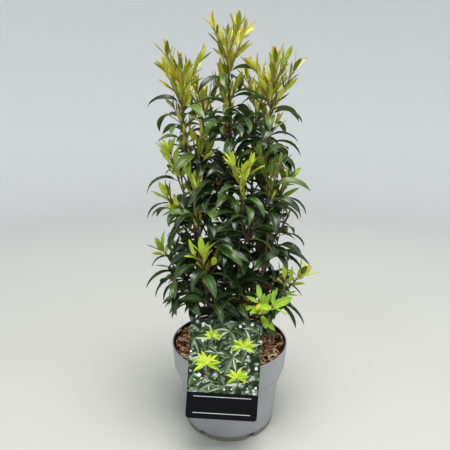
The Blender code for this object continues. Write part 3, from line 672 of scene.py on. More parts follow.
# Floor darker near the plant and paler away from it: painted shade and painted light against the lamps'
# fall-off
FLOOR_FINISH = Finish(
    roughness=0.7,
    specular=0.2,
    grain=(),
    stops=((0.0, "", 1.0), (1.0, "backdrop", 1.0)),
    relief=((400.0, 2.0), 0.03, 0.0004),
)

# Finish of the materials whose names start so. The first that fits is taken, and the last fits all leaves.
FINISHES = {
    "floor": FLOOR_FINISH,
    "bark": BARK_FINISH,
    "pot_inside": POT_INSIDE_FINISH,
    "pot": POT_FINISH,
    "soil": SOIL_FINISH,
    "fibre_": FIBRE_FINISH,
    "card_ground": GROUND_FINISH,
    "card_black": inked(0.55, 0.08),
    **dict.fromkeys(("card_", "print_", "stake"), inked()),
    **dict.fromkeys(("twig", "stalk", "young_stalk", "bud"), TWIG_FINISH),
    "old_under": leathery(0.62, 0.2),
    "old_": leathery(0.39, 0.38, 0.1),
    "": leathery(0.44, 0.3),
}


class Shader:
    """A material's node tree, with the few nodes that the finishes here are made from."""

    def __init__(self, name, roughness, specular):
        self.material = bpy.data.materials.new(name)
        self.material.use_nodes = True
        self.tree = self.material.node_tree
        self.place = self.add("ShaderNodeTexCoord").outputs["Object"]
        self.surface = self.tree.nodes["Principled BSDF"]
        self.fill(self.surface, {"Roughness": roughness, "Specular IOR Level": specular})

    def fill(self, node, inputs):
        """Gives each of these inputs its value, or another node's output."""
        for socket, value in inputs.items():
            if isinstance(value, bpy.types.NodeSocket):
                self.tree.links.new(value, node.inputs[socket])
            else:
                node.inputs[socket].default_value = value

    def add(self, kind, inputs=None):
        node = self.tree.nodes.new(kind)
        self.fill(node, inputs or {})
        return node

    def pattern(self, scale, detail, stretch=(1.0, 1.0, 1.0)):
        """A noise, or cells where it has no detail."""
        place = self.add("ShaderNodeMapping", {"Vector": self.place, "Scale": stretch}).outputs["Vector"]
        if detail is None:
            return self.add("ShaderNodeTexVoronoi", {"Vector": place, "Scale": scale}).outputs["Distance"]
        inputs = {"Vector": place, "Scale": scale, "Detail": detail}
        return self.add("ShaderNodeTexNoise", inputs).outputs["Fac"]

    def distance(self, near, far):
        """A value that runs from 0 to 1 between two distances from the plant."""
        away = self.add("ShaderNodeVectorMath", {0: self.place})
        away.operation = "LENGTH"
        inputs = {"Value": away.outputs["Value"], "From Min": near, "From Max": far}
        return self.add("ShaderNodeMapRange", inputs).outputs["Result"]

    def paint(self, source, stops):
        """Base colours at places of a value from 0 to 1."""
        ramp = self.add("ShaderNodeValToRGB", {"Fac": source})
        elements = ramp.color_ramp.elements
        while len(elements) < len(stops):
            elements.new(0.5)
        for element, (place, colour) in zip(elements, stops):
            element.position = place
            element.color = colour
        self.fill(self.surface, {"Base Color": ramp.outputs["Color"]})

    def polish(self, grain, low, high):
        inputs = {"Value": self.pattern(*grain), "To Min": low, "To Max": high}
        self.fill(self.surface, {"Roughness": self.add("ShaderNodeMapRange", inputs).outputs["Result"]})

    def emboss(self, grain, strength, distance):
        inputs = {"Height": self.pattern(*grain), "Strength": strength, "Distance": distance}
        self.fill(self.surface, {"Normal": self.add("ShaderNodeBump", inputs).outputs["Normal"]})


def material(name):
    """The material of this name, made when it is first asked for."""
    if name in bpy.data.materials:
        return bpy.data.materials[name]
    finish = next(FINISHES[start] for start in FINISHES if name.startswith(start))
    shader = Shader(name, finish.roughness, finish.specular)
    stops = [(place, linear(tone or name, strength)) for place, tone, strength in finish.stops]
    source = shader.pattern(*finish.grain) if finish.grain else shader.distance(*FLOOR_PAINTED_LIGHT_SPAN)
    shader.paint(source, stops)
    if finish.relief:
        shader.emboss(*finish.relief)
    if finish.gloss:
        shader.polish(*finish.gloss)
    if finish.coat:
        shader.fill(shader.surface, {"Coat Weight": finish.coat, "Coat Roughness": COAT_ROUGHNESS})
    return shader.material


# Shapes


def dice(name):
    """Random numbers of their own for each part, the same in every run."""
    return random.Random(f"{SEED} {name}")


def towards(bearing, rise=0.0):
    """Unit vector at a bearing, and at a rise above the level."""
    turn, lift = math.radians(bearing), math.radians(rise)
    return Vector((math.cos(turn) * math.cos(lift), math.sin(turn) * math.cos(lift), math.sin(lift)))


def on_lines(levels, height):
    """Value at a height, on straight lines between (height, value) pairs."""
    for (low, first), (high, second) in zip(levels, levels[1:]):
        if height <= high:
            share = max(0.0, (height - low) / (high - low))
            return first + (second - first) * share
    return levels[-1][1]


def turned(profile, sides):
    """Points and faces of a profile of (radius, height) turned about Z. It runs from the axis, outwards
    and upwards, and back to the axis."""
    points, rings, faces = [], [], []
    for radius, height in profile:
        start = len(points)
        if radius == 0:
            points.append(Vector((0.0, 0.0, height)))
            rings.append([start] * sides)
            continue
        for i in range(sides):
            turn = 2 * math.pi * i / sides
            points.append(Vector((radius * math.cos(turn), radius * math.sin(turn), height)))
        rings.append(list(range(start, start + sides)))
    for lower, upper in zip(rings, rings[1:]):
        for i in range(sides):
            j = (i + 1) % sides
            corners = [lower[i], lower[j], upper[j], upper[i]]
            faces.append([c for k, c in enumerate(corners) if c not in corners[:k]])
    return points, faces


def rounded(profile, reach):
    """A profile with each of its corners rounded, except those on the axis."""
    made = [profile[0]]
    for before, corner, after in zip(profile, profile[1:], profile[2:]):
        here, back, ahead = Vector(corner), Vector(before), Vector(after)
        near = min(reach, (back - here).length * ROUNDING_MOST, (ahead - here).length * ROUNDING_MOST)
        first = here + (back - here).normalized() * near
        last = here + (ahead - here).normalized() * near
        for k in range(ROUNDING_POINTS):
            t = k / (ROUNDING_POINTS - 1)
            point = first.lerp(here, t).lerp(here.lerp(last, t), t)
            made.append((point.x, point.y))
    made.append(profile[-1])
    return made


def plate(outline, front, back):
    """Points and faces of an upright plate between two values of Y. Its outline of (x, z) runs
    anticlockwise as seen from the front."""
    count = len(outline)
    points = [Vector((x, y, z)) for y in (front, back) for x, z in outline]
    faces = [list(range(count)), list(range(count, 2 * count))[::-1]]
    for i in range(count):
        j = (i + 1) % count
        faces.append([i, count + i, count + j, j])
    return points, faces


def skin(rings, sides):
    """Faces of a closed skin over rings of points, which are numbered ring by ring."""
    faces = []
    for k in range(0, (rings - 1) * sides, sides):
        for i in range(sides):
            j = (i + 1) % sides
            faces.append([k + i, k + j, k + sides + j, k + sides + i])
    return [*faces, list(range(sides))[::-1], list(range((rings - 1) * sides, rings * sides))]


def tube(path, radii, sides):
    """Points and faces of a closed tube along a path, with a radius at each of its points."""
    points = []
    across = (path[1] - path[0]).orthogonal().normalized()
    for k, (centre, radius) in enumerate(zip(path, radii)):
        behind, ahead = path[max(k - 1, 0)], path[min(k + 1, len(path) - 1)]
        direction = (ahead - behind).normalized()
        across = (across - direction * across.dot(direction)).normalized()
        other = direction.cross(across)
        for i in range(sides):
            turn = 2 * math.pi * i / sides
            points.append(centre + (across * math.cos(turn) + other * math.sin(turn)) * radius)
    return points, skin(len(path), sides)


def bezier(corners, steps):
    """Points on the cubic curve with these four corners."""
    a, b, c, d = corners
    made = []
    for k in range(steps + 1):
        t = k / steps
        s = 1 - t
        made.append(a * s**3 + b * 3 * s * s * t + c * 3 * s * t * t + d * t**3)
    return made


def eased(route, radii, steps):
    """A route and its radii with steps added on a smooth curve through its points."""
    ends = [route[0] * 2 - route[1], *route, route[-1] * 2 - route[-2]]
    path, sizes = [], []
    for k in range(len(route) - 1):
        a, b, c, d = ends[k : k + 4]
        for i in range(steps):
            t = i / steps
            curve = b * 2 + (c - a) * t + (a * 2 - b * 5 + c * 4 - d) * t**2
            path.append((curve + (b * 3 - a - c * 3 + d) * t**3) * 0.5)
            sizes.append(radii[k] + (radii[k + 1] - radii[k]) * t)
    return [*path, route[-1].copy()], [*sizes, radii[-1]]


# Growth, by the source's rule


def tapered(route, foot, tip=TWIG_TIP_RADIUS):
    """Radii from a foot's to a tip's, at a route's points."""
    last = len(route) - 1
    return [foot + (tip - foot) * k / last for k in range(last + 1)]


def bough_line(name):
    """Centre line of a bough, out of the knuckle and up to its tip, and its radii."""
    bearing, spread, height, *ends = BOUGHS[name]
    middle = name == MIDDLE_BOUGH
    out = towards(bearing, 90.0 if middle else BOUGH_RISE)
    start = KNUCKLE_CENTRE + out * (KNUCKLE_RADIUS + FIT)
    tip = towards(bearing) * spread + UP * height
    rise = tip.z - start.z
    first = start + out * (MIDDLE_FOOT_PULL * rise if middle else BOUGH_FOOT_PULL * spread)
    last = tip - (UP + towards(bearing) * BOUGH_TIP_LEAN) * (BOUGH_TIP_PULL * rise)
    route = bezier((start, first, last, tip), BOUGH_STEPS)
    phase = dice(name).uniform(0.0, 360.0)
    for k in range(2, BOUGH_STEPS):
        sway = BOUGH_WANDER * math.sin(math.pi * k / BOUGH_STEPS)
        route[k] += towards(phase + BOUGH_WANDER_TURN * k) * sway
    return route, tapered(route, *ends)


def on_bough(name, height):
    """Point, direction and radius of a bough where it passes a height."""
    route, radii = bough_line(name)
    step = next((k for k in range(BOUGH_STEPS) if height <= route[k + 1].z), BOUGH_STEPS - 1)
    low, high = route[step], route[step + 1]
    share = min(1.0, (height - low.z) / (high.z - low.z))
    radius = radii[step] + (radii[step + 1] - radii[step]) * share
    return low.lerp(high, share), (high - low).normalized(), radius


def shoot_route(start, direction, length, lift, steps=1):
    """A shoot's centre line, which turns up towards the light."""
    route, way = [start], direction.normalized()
    for _ in range(steps):
        way = (way + UP * lift / steps).normalized()
        route.append(route[-1] + way * (length / steps))
    return route


def along(route, distance):
    """Point and direction at a distance along a route."""
    for a, b in zip(route, route[1:]):
        step = (b - a).length
        if distance <= step:
            return a.lerp(b, distance / step), (b - a).normalized()
        distance -= step
    return route[-1].copy(), (route[-1] - route[-2]).normalized()


def route_length(route):
    return sum((b - a).length for a, b in zip(route, route[1:]))


def leaf_on(rng, point, axis, turn, young, size=1.0):
    """A leaf at a point of a twig."""
    spread = math.radians(rng.uniform(*LEAF_SPREAD[young]))
    length = rng.uniform(*LEAF_LENGTH[young]) * size
    width = length * LEAF_WIDTH[young] * rng.uniform(*LEAF_WIDTH_RANGE) * TRUE_WIDTH[young]
    roll = math.radians(rng.uniform(-LEAF_ROLL, LEAF_ROLL)) * TRUE_ROLL[young]
    bend = math.radians(rng.uniform(*YOUNG_LEAF_BEND))
    drop = math.radians(rng.uniform(*OLD_LEAF_TIP_DROP)) * TRUE_DROP
    return Leaf(point, axis, turn, spread, length, width, roll, bend, drop, young)


def leaf_line(leaf, extra_turn, size, shares):
    """Side of a leaf, and at these shares of its length the points of its midrib with the direction there.
    Old leaves arch over towards the ground, young ones stand."""
    axis = leaf.axis
    radial = axis.orthogonal().normalized()
    radial.rotate(Matrix.Rotation(math.radians(leaf.turn + extra_turn), 3, axis))
    direction = axis * math.cos(leaf.spread) + radial * math.sin(leaf.spread)
    faced, bend = axis, leaf.bend
    if not leaf.young:
        direction = (direction + UP * OLD_LEAF_LIFT).normalized()
        faced = axis + UP * OLD_LEAF_FACING
        bend = math.asin(max(-1.0, min(1.0, direction.z))) + leaf.drop
    side = faced.cross(direction).normalized()
    side.rotate(Matrix.Rotation(leaf.roll, 3, direction))
    line = [(leaf.root.copy(), direction)]
    for k in range(LEAF_STEPS):
        way = Matrix.Rotation(bend * (k + 0.5) / LEAF_STEPS, 3, side) @ direction
        line.append((line[-1][0] + way * (leaf.length * size / LEAF_STEPS), way))
    return side, [line[round(s * LEAF_STEPS)] for s in shares]


def leaf_hull(leaf, extra_turn=0.0, size=1.0, start=0.0, grow=0.0):
    """Points and faces of the plain solid that stands for a leaf while room is sought for it."""
    side, line = leaf_line(leaf, extra_turn, size, (start, LEAF_WIDEST, 1.0))
    (root, _), (middle, way), (tip, last) = line
    upper = way.cross(side).normalized()
    half = side * (leaf.width * size / 2 + grow)
    rib, lower = middle + upper * grow, middle - upper * (leaf.length * size * LEAF_THICKNESS + grow)
    points = [root, rib + half, rib - half, lower, tip + last * grow]
    return points, [[0, 2, 1], [0, 3, 2], [0, 1, 3], [1, 2, 4], [2, 3, 4], [3, 1, 4]]


def leafy_twig(rng, kind, route, radii, phase, young, growth=1.0):
    """A twig and its leaves, old ones below and a share of young ones above, set round it by the golden
    turn, with a few upright ones at its tip."""
    first, spacing, tips, size = TWIG_KINDS[kind]
    size *= growth
    leaves = []
    length = route_length(route)
    count = max(1, round((length - first) / spacing))
    for k in range(count):
        share = (k + LEAF_PLACE) / count
        point, axis = along(route, first + (length - first) * share)
        leaves.append(leaf_on(rng, point, axis, phase + GOLDEN_TURN * k, share > 1.0 - young, size))
    for k in range(tips):
        point, axis = along(route, length - TIP_LEAF_STEP * (k + 1))
        turn = phase + TIP_LEAF_TURN + 360.0 * k / tips
        leaf = leaf_on(rng, point, axis, turn, young > 0.0, TIP_LEAF_SIZE * size)
        leaf.spread *= TIP_LEAF_SPREAD
        leaves.append(leaf)
    return Twig(route, radii, leaves, young > 0.5)


def side_shoot(mass, bearing):
    """Twigs of a side shoot, which leaves its bough squarely and carries smaller shoots."""
    rng = dice(mass.name)
    point, axis, radius = on_bough(mass.bough, mass.height)
    square = towards(bearing)
    square = (square - axis * square.dot(axis)).normalized()
    start = point + square * (radius + FIT)
    elbow = start + square * ELBOW
    route = [start, *shoot_route(elbow, towards(bearing, mass.rise), mass.length, SHOOT_LIFT, SHOOT_STEPS)]
    kind, radii = "sprig" if mass.young else "shoot", tapered(route, TWIG_RADIUS)
    phase = rng.uniform(0.0, 360.0)
    twigs = [leafy_twig(rng, kind, route, radii, phase, mass.young)]
    phase += BRANCH_TURN
    for share, side in BRANCHES:
        fork, way = along(route, mass.length * share)
        out = towards(bearing + side * rng.uniform(*BRANCH_SWING))
        length = mass.length * rng.uniform(*BRANCH_LENGTH)
        branch = shoot_route(fork, way + out * BRANCH_SPREAD, length, BRANCH_LIFT)
        radii = tapered(branch, BRANCH_RADIUS)
        twigs.append(leafy_twig(rng, "branch", branch, radii, phase, mass.young * BRANCH_YOUNG))
    for leaf in (leaf for twig in twigs for leaf in twig.leaves if leaf.young):
        leaf.spread *= mass.opening
    return twigs


def head_shoots(mass):
    """Twigs of a bough's head: the leader runs on with arching old leaves, and young shoots crowd its top."""
    rng = dice(mass.name)
    length, young_shoots, lean, _ = HEADS[mass.bough]
    route, radii = bough_line(mass.bough)
    axis = (route[-1] - route[-2]).normalized()
    leader = shoot_route(route[-1] + axis * FIT, axis, length, LEADER_LIFT, len(LEADER_TAPER) - 1)
    radii = [radii[-1] * share for share in LEADER_TAPER]
    phase = rng.uniform(0.0, 360.0)
    twigs = [leafy_twig(rng, "leader", leader, radii, phase, LEADER_YOUNG_SHARE)]
    for k in range(young_shoots):
        fork, way = along(leader, length - YOUNG_SHOOT_TOP - YOUNG_SHOOT_SPACING * k)
        out = towards(phase + GOLDEN_TURN * k) * lean * rng.uniform(*YOUNG_SHOOT_LEAN)
        reach = rng.uniform(*YOUNG_SHOOT_LENGTH) + YOUNG_SHOOT_GROWTH * k
        shoot = shoot_route(fork, way + out, reach, YOUNG_SHOOT_LIFT)
        radii = tapered(shoot, YOUNG_SHOOT_RADIUS)
        twigs.append(leafy_twig(rng, "young_shoot", shoot, radii, phase + YOUNG_SHOOT_TURN * k, 1.0))
    return twigs


def side_places(bough):
    """Height and bearing of each side shoot of a bough: all round the middle one, outwards on the others."""
    outward, _, tip_height, *_ = BOUGHS[bough]
    height = FIRST_SIDE_HEIGHT + SIDE_STAGGER * (list(BOUGHS).index(bough) % 3)
    places = []
    while height < tip_height - SIDE_TOP_CLEARANCE:
        number = len(places)
        swing = SIDE_SWING * (2.0 * ((number * SIDE_SWING_STEP + SIDE_SWING_START) % 1.0) - 1.0)
        bearing = outward + (GOLDEN_TURN * number if bough == MIDDLE_BOUGH else swing)
        places.append((height, bearing))
        height += SIDE_SPACING
    return places


def plan_masses():
    """The masses of foliage, in the order in which they take their space."""
    masses = [Mass(f"head_{bough}", bough, tone=HEADS[bough][3]) for bough in BOUGHS]
    masses += [Mass(f"sprig_{name}", *sizes) for name, sizes in SPRIGS.items()]
    masses += [Mass(f"foliage_{name}", *sizes) for name, sizes in FILLERS.items()]
    for bough in BOUGHS:
        for number, (height, bearing) in enumerate(side_places(bough), 1):
            rise = on_lines(SIDE_RISE, height)
            length = MIDDLE_SIDE_LENGTH if bough == MIDDLE_BOUGH else on_lines(SIDE_LENGTH, height)
            masses.append(Mass(f"foliage_{bough}_{number}", bough, height, bearing, length, rise))
    return masses


def twigs_of(mass, offset):
    """The twigs of a mass, turned round its bough by an offset."""
    if not mass.height:
        return head_shoots(mass)
    return side_shoot(mass, mass.bearing + (offset / 2 if mass.stands_out else offset))


def tree_of(points, faces):
    return BVHTree.FromPolygons([tuple(p) for p in points], faces)


def clear_of(points, faces, trees):
    """True where these faces cross none of the trees."""
    mine = tree_of(points, faces)
    return not any(mine.overlap(tree) for tree in trees)


def mass_tree(twigs, placed=()):
    """The twigs of a mass and the leaves that it has placed, as other masses meet them."""
    whole = Shape()
    for hull in twig_hulls(twigs) + [leaf_hull(*p) for p in placed]:
        whole.add(*hull, "")
    return tree_of(whole.points, whole.faces)


def inside_crown(points):
    """True where no point leaves the crown's outline or hangs into the pot's rim."""
    reaches = [math.hypot(p.x - on_lines(CROWN_MIDDLE, p.z), p.y) for p in points]
    return all(p.z >= LEAF_FLOOR and reach <= on_lines(CROWN, p.z) for p, reach in zip(points, reaches))


def before_card(points):
    """True where a point hangs in front of the card."""
    top = POT_HEIGHT + CARD_TOP_ABOVE_RIM + CARD_ROOM
    reach = CARD_WIDTH / 2 + CARD_ROOM
    return any(p.z < top and p.y < card_back(p.z) and abs(p.x - CARD_CENTRE_X) < reach for p in points)


def sprig_rooms(grown):
    """Middle and radius of the room round each sprig's tip, which other masses' leaves keep out of."""
    rooms = []
    for mass, twigs in grown:
        if mass.young:
            tip = twigs[0].route[-1]
            middle = tip + Vector((tip.x, tip.y, 0.0)).normalized() * SPRIG_ROOM_SHIFT
            rooms.append((middle, SPRIG_ROOM * mass.opening))
    return rooms


def has_room(mass, points, rooms):
    """True where a leaf's points keep to the crown, and out of the card's front and the sprigs' rooms."""
    if before_card(points) or not (mass.stands_out or inside_crown(points)):
        return False
    if mass.young:
        return True
    middles = [(a + b) / 2 for a, b in zip(points, points[1:])]
    return all((p - middle).length > reach for p in points + middles for middle, reach in rooms)


def twig_fits(mass, twig, obstacles, gap=TWIG_GAP):
    points, faces = tube(twig.route, [r + gap for r in twig.radii], TWIG_SIDES)
    return clear_of(points, faces, obstacles) and (mass.stands_out or inside_crown(points))


def grow_wood(limbs):
    """Each mass with its twigs. A mass turns round its bough until its stem is clear of the limbs and of
    the other masses' twigs, and leaves out a branch that isn't."""
    grown, obstacles = [], list(limbs)
    for mass in plan_masses():
        for offset in BEARING_TRIES:
            twigs = twigs_of(mass, offset)
            if twig_fits(mass, twigs[0], obstacles):
                kept = [twig for twig in twigs if twig_fits(mass, twig, obstacles)]
                obstacles.append(mass_tree(kept))
                grown.append((mass, kept))
                break
    return grown


def twig_hulls(twigs):
    return [tube(twig.route, twig.radii, TWIG_SIDES) for twig in twigs]


# Growth finer than the solids have


def grown_on(mass, twig):
    """The twig with its young leaves at their true size. Its tip grows on by about what they lose."""
    young = [leaf for leaf in twig.leaves if leaf.young]
    if not young:
        return twig
    length, width, growth = TRUE_LENGTH[1], TRUE_LENGTH[1], TIP_GROWTH
    if mass.young:
        length, width, growth = SPRIG_LEAF_LENGTH, SPRIG_LEAF_WIDTH, SPRIG_TIP_GROWTH
    end, axis = along(twig.route, route_length(twig.route))
    for leaf in young:
        leaf.length *= length
        leaf.width *= width
        if (leaf.root - end).length < TIP_REACH:
            leaf.root = leaf.root + axis * growth
    route = [*twig.route, end + axis * growth]
    return Twig(route, [*twig.radii, FINE_TWIG_RADII[0]], twig.leaves, twig.young)


def extra_leaves(rng, mass, twig):
    """A twig of the source again, with more leaves that stand between those that it has."""
    length = route_length(twig.route)
    latest, share_of_first = EXTRA_LEAF_START
    begin = min(length * latest, (twig.leaves[0].root - twig.route[0]).length * share_of_first)
    if mass.height:
        step, young_share = EXTRA_SPRIG_STEP if mass.young else EXTRA_LEAF_STEP, mass.young
    else:
        step, young_share = EXTRA_YOUNG_STEP if twig.young else EXTRA_LEADER_STEP, LEADER_YOUNG_SHARE
    count = max(1, round((length - begin) / step))
    phase = rng.uniform(0.0, 360.0)
    made = []
    for k in range(count):
        share = (k + 0.5) / count
        point, axis = along(twig.route, begin + (length - begin) * share)
        young = twig.young or share > 1.0 - young_share
        size = rng.uniform(*EXTRA_LEAF_SIZE[young]) * TRUE_LENGTH[young]
        leaf = leaf_on(rng, point, axis, phase + GOLDEN_TURN * k, young, size)
        leaf.spread *= mass.opening if young else 1.0
        made.append(leaf)
    return Twig(twig.route, twig.radii, made, twig.young)


def fine_twigs(rng, mass, twig):
    """Thinner twigs on a twig of the source, each with a few smaller leaves. A fuller head has more."""
    young = not mass.height
    kind, places, lean, sizes = FINE_TWIGS[young]
    if young:
        places = places[-HEADS[mass.bough][1] - HEAD_TWIGS_MORE :]
    length = route_length(twig.route)
    phase = rng.uniform(0.0, 360.0)
    made = []
    for k, share in enumerate(places):
        fork, way = along(twig.route, length * share)
        out = towards(phase + GOLDEN_TURN * k)
        route = shoot_route(fork, way + out * lean, rng.uniform(*FINE_TWIG_LENGTH), SHOOT_LIFT, SHOOT_STEPS)
        radii = tapered(route, *FINE_TWIG_RADII)
        size, turn = rng.uniform(*sizes) * TRUE_LENGTH[young], rng.uniform(0.0, 360.0)
        made.append(leafy_twig(rng, kind, route, radii, turn, young, size))
    return made


def axil_tufts(rng, leader):
    """Small tufts of young leaves in the axils of a leader's old leaves."""
    made = []
    for leaf in leader.leaves:
        if leaf.young:
            continue
        out = towards(rng.uniform(0.0, 360.0))
        route = shoot_route(leaf.root, leaf.axis + out * TUFT_LEAN, rng.uniform(*TUFT_LENGTH), SHOOT_LIFT)
        leaves = []
        for k in range(TUFT_LEAVES):
            turn = 360.0 * k / TUFT_LEAVES + out.x * TUFT_STRAY
            leaves.append(leaf_on(rng, route[-1], leaf.axis, turn, True, rng.uniform(*TUFT_LEAF_SIZE)))
        made.append(Twig(route, tapered(route, *FINE_TWIG_RADII), leaves, True))
    return made


def without(items, number):
    return items[:number] + items[number + 1 :]


def trees_of(twigs):
    return [tree_of(*hull) for hull in twig_hulls(twigs)]


def place_leaves(mass, twigs, wood_trees, others, own_leaves, rooms):
    """The leaves that find room, each with its turn and size. What would cross wood, another leaf or the
    outline is turned or shortened, and skipped where that doesn't help."""
    placed = []
    for number, twig in enumerate(twigs):
        wood = without(wood_trees, number)
        for leaf in twig.leaves:
            for turn, size in LEAF_TRIES:
                blade = leaf_hull(leaf, turn, size, LEAF_BLADE_START, FINE_CLEARANCE)
                if not has_room(mass, blade[0], rooms):
                    continue
                if clear_of(*blade, others + wood + own_leaves):
                    placed.append((leaf, turn, size))
                    own_leaves.append(tree_of(*blade))
                    break
    return placed


def choose_tones(rng, mass, twig):
    """Plain leaf colours, dealt out by twig: old leaves mostly dark, and darker still on the low side shoots
    as painted shade of the crown's lower part; young ones by where they stand.
    """
    tones = (PAINTED_SHADE_LOW_TONES if 0.0 < mass.height < PAINTED_SHADE_BELOW else OLD_TONES, HEAD_TONES)
    usual = (rng.choice(tones[False]), mass.tone or rng.choice(HEAD_TONES))
    for leaf in twig.leaves:
        kind = leaf.young
        leaf.tone = usual[kind] if rng.random() < TONE_SHARE[kind] else rng.choice(tones[kind])


def grow_crown(limbs):
    """Every mass with the twigs and leaves that are drawn: first the source's, then the finer growth."""
    grown = grow_wood(limbs)
    rooms = sprig_rooms(grown)
    grown = [(mass, [grown_on(mass, twig) for twig in twigs]) for mass, twigs in grown]
    taken = [*limbs, *[mass_tree(twigs) for _, twigs in grown]]
    begun = []
    for number, (mass, twigs) in enumerate(grown, len(limbs)):
        wood_trees, leaf_trees = trees_of(twigs), []
        placed = place_leaves(mass, twigs, wood_trees, without(taken, number), leaf_trees, rooms)
        begun.append((mass, twigs, placed, wood_trees, leaf_trees))
        taken[number] = mass_tree(twigs, placed)
    crown = []
    for number, (mass, twigs, placed, wood_trees, leaf_trees) in enumerate(begun, len(limbs)):
        rng = dice(f"fine {mass.name}")
        others = without(taken, number)
        for twig in twigs:
            choose_tones(rng, mass, twig)
        extra = [extra_leaves(rng, mass, twig) for twig in twigs]
        finer = []
        if not mass.young:
            for twig in twigs if mass.height else twigs[:1]:
                finer += fine_twigs(rng, mass, twig)
        if not mass.height:
            finer += axil_tufts(rng, twigs[0])
        finer = [twig for twig in finer if twig_fits(mass, twig, others, 0.0)]
        for twig in extra + finer:
            choose_tones(rng, mass, twig)
        placed += place_leaves(mass, extra, wood_trees, others, leaf_trees, rooms)
        placed += place_leaves(mass, finer, trees_of(finer), others, leaf_trees, rooms)
        taken[number] = mass_tree(twigs + finer, placed)
        crown.append((mass, twigs + finer, placed))
    return crown


# Pieces of the plant


def blade(leaf, extra_turn, size):
    """A thin closed leaf with its own outline: folded along a paler rib, rippled at its edge, and drawn
    out to a point, with the rows of a young leaf's tip in bronze."""
    side, line = leaf_line(leaf, extra_turn, size, [k / LEAF_STEPS for k in range(LEAF_STEPS + 1)])
    peak, rear, fore = BLADES[leaf.young]
    most = peak**rear * (1 - peak) ** fore
    rib, under = ("young_rib", leaf.tone) if leaf.young else ("old_rib", "old_under")
    upper_strips, under_strips = [leaf.tone, leaf.tone, rib, leaf.tone, leaf.tone], [under] * UNDER_STRIPS
    tip = "bronze" if leaf.tone in HEAD_TONES else under
    tip_strips = upper_strips if tip == under else [tip] * len(upper_strips)
    sides = len(upper_strips) + UNDER_STRIPS
    points, finishes = [], []
    for k in range(BLADE_ROWS + 1):
        t = 0.5 - 0.5 * math.cos(math.pi * (BLADE_END + (1 - 2 * BLADE_END) * k / BLADE_ROWS))
        share = (STALK_SHARE + (1 - STALK_SHARE) * t) * LEAF_STEPS
        low = min(int(share), LEAF_STEPS - 1)
        centre = line[low][0].lerp(line[low + 1][0], share - low)
        upper = line[low + 1][1].cross(side).normalized()
        half = leaf.width * size / 2 * (t**rear * (1 - t) ** fore) / most
        half = max(half, STALK_RADIUS * BLADE_LEAST_WIDTH)
        mid, rib_edge = BLADE_MIDWAY, min(0.5, RIB_HALF_WIDTH * (RIB_TAPER - t) / half)
        for across in (-1.0, -mid, -rib_edge, rib_edge, mid, 1.0, mid, 0.0, -mid):
            wave = math.sin(leaf.turn + RIPPLE_TURN * t + (RIPPLE_SHIFT if across > 0 else 0.0))
            lift = BLADE_FOLD * half * abs(across) + BLADE_RIPPLE * half * across * across * wave
            points.append(centre + side * (across * half) + upper * lift)
        for corner, sink in BLADE_SINKS:
            points[corner - sides] -= upper * (BLADE_HALF_THICKNESS * sink)
        if k < BLADE_ROWS:
            finishes += [*(tip_strips if k >= YOUNG_TIP_ROW else upper_strips), *under_strips]
    return points, skin(BLADE_ROWS + 1, sides), [*finishes, under, tip]


def stalk(leaf, extra_turn, size):
    """The stalk of a leaf, from inside its twig to a little way under the blade."""
    side, line = leaf_line(leaf, extra_turn, size, [place for place, _ in STALK_SWELL])
    path = [p - way.cross(side).normalized() * STALK_RADIUS * STALK_SINK for p, way in line]
    path[0] = line[0][0]
    return tube(path, [STALK_RADIUS * swell for _, swell in STALK_SWELL], 4)


def bud(rng, point, axis):
    """A small pointed bud."""
    out = (axis + towards(rng.uniform(0.0, 360.0)) * BUD_LEAN).normalized()
    length = rng.uniform(*BUD_LENGTH)
    path = [point + out * (length * place) for place, _ in BUD_SWELL]
    return tube(path, [radius for _, radius in BUD_SWELL], BUD_SIDES)


def make_leaves(crown):
    """The leaves, the old and the young apart, in pieces that each end with the mass that takes them past the
    most triangles.
    """
    for kind in ("old", "young"):
        shape, nodes, number = Shape(), [], 1
        for mass, _, placed in crown:
            chosen = [p for p in placed if p[0].young == (kind == "young")]
            for leaf in chosen:
                shape.add(*blade(*leaf))
            if chosen:
                nodes.append(mass.name)
            if shape.triangles() > MOST_TRIANGLES or mass is crown[-1][0]:
                piece = shape.piece(f"leaves_{kind}_{number}", f"{kind}_foliage", LEAF_SHARP)
                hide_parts(*nodes)
                shape, nodes, number = Shape(), [], number + 1


def make_twigs(crown):
    """The twigs and leaf stalks in one piece each, and the buds in another."""
    twigs_shape, stalks_shape, buds = Shape(), Shape(), Shape()
    rng = dice("buds")
    swelling, turn = TWIG_KNOTS
    for mass, twigs, placed in crown:
        for twig in twigs:
            route, radii = eased(twig.route, twig.radii, TRUE_TWIG_STEPS)
            radii = [r * (1.0 + swelling * math.sin(turn * k)) for k, r in enumerate(radii)]
            twigs_shape.add(*tube(route, radii, TRUE_TWIG_SIDES), "twig_young" if twig.young else "twig")
            point, axis = along(route, route_length(route))
            buds.add(*bud(rng, point - axis * BUD_SINK, axis), "bud")
        for leaf, extra_turn, size in placed:
            stalks_shape.add(*stalk(leaf, extra_turn, size), "young_stalk" if leaf.young else "stalk")
            if rng.random() < BUD_CHANCE:
                buds.add(*bud(rng, leaf.root, leaf.axis), "bud")
    twigs_shape.piece("twigs", "bark", SHARP)
    stalks_shape.piece("leaf_stalks", "bark", SHARP)
    buds.piece("buds", "young_foliage", SHARP)


def bark_tube(path, radii, sides, grain, lump=0.0):
    """A limb with ridges, cracks and small swellings in its bark, and on the stock with broad lumps."""
    points, faces = tube(path, radii, sides)
    for n, p in enumerate(points):
        out = (p - path[n // sides]).normalized()
        ridges = noise.fractal(Vector((p.x, p.y, p.z * BARK_RIDGE_STRETCH)) * grain, *LAYERS)
        rings = noise.noise(Vector((p.x, p.y, p.z * BARK_RING_STRETCH)) * grain * BARK_RING_GRAIN)
        lumps = noise.noise(Vector((*out.xy * STOCK_LUMP_TURN, p.z * STOCK_LUMP_RISE)))
        relief = BARK_RIDGES * ridges + BARK_RINGS * rings + lump * lumps
        points[n] = p + out * radii[n // sides] * relief
    return points, faces


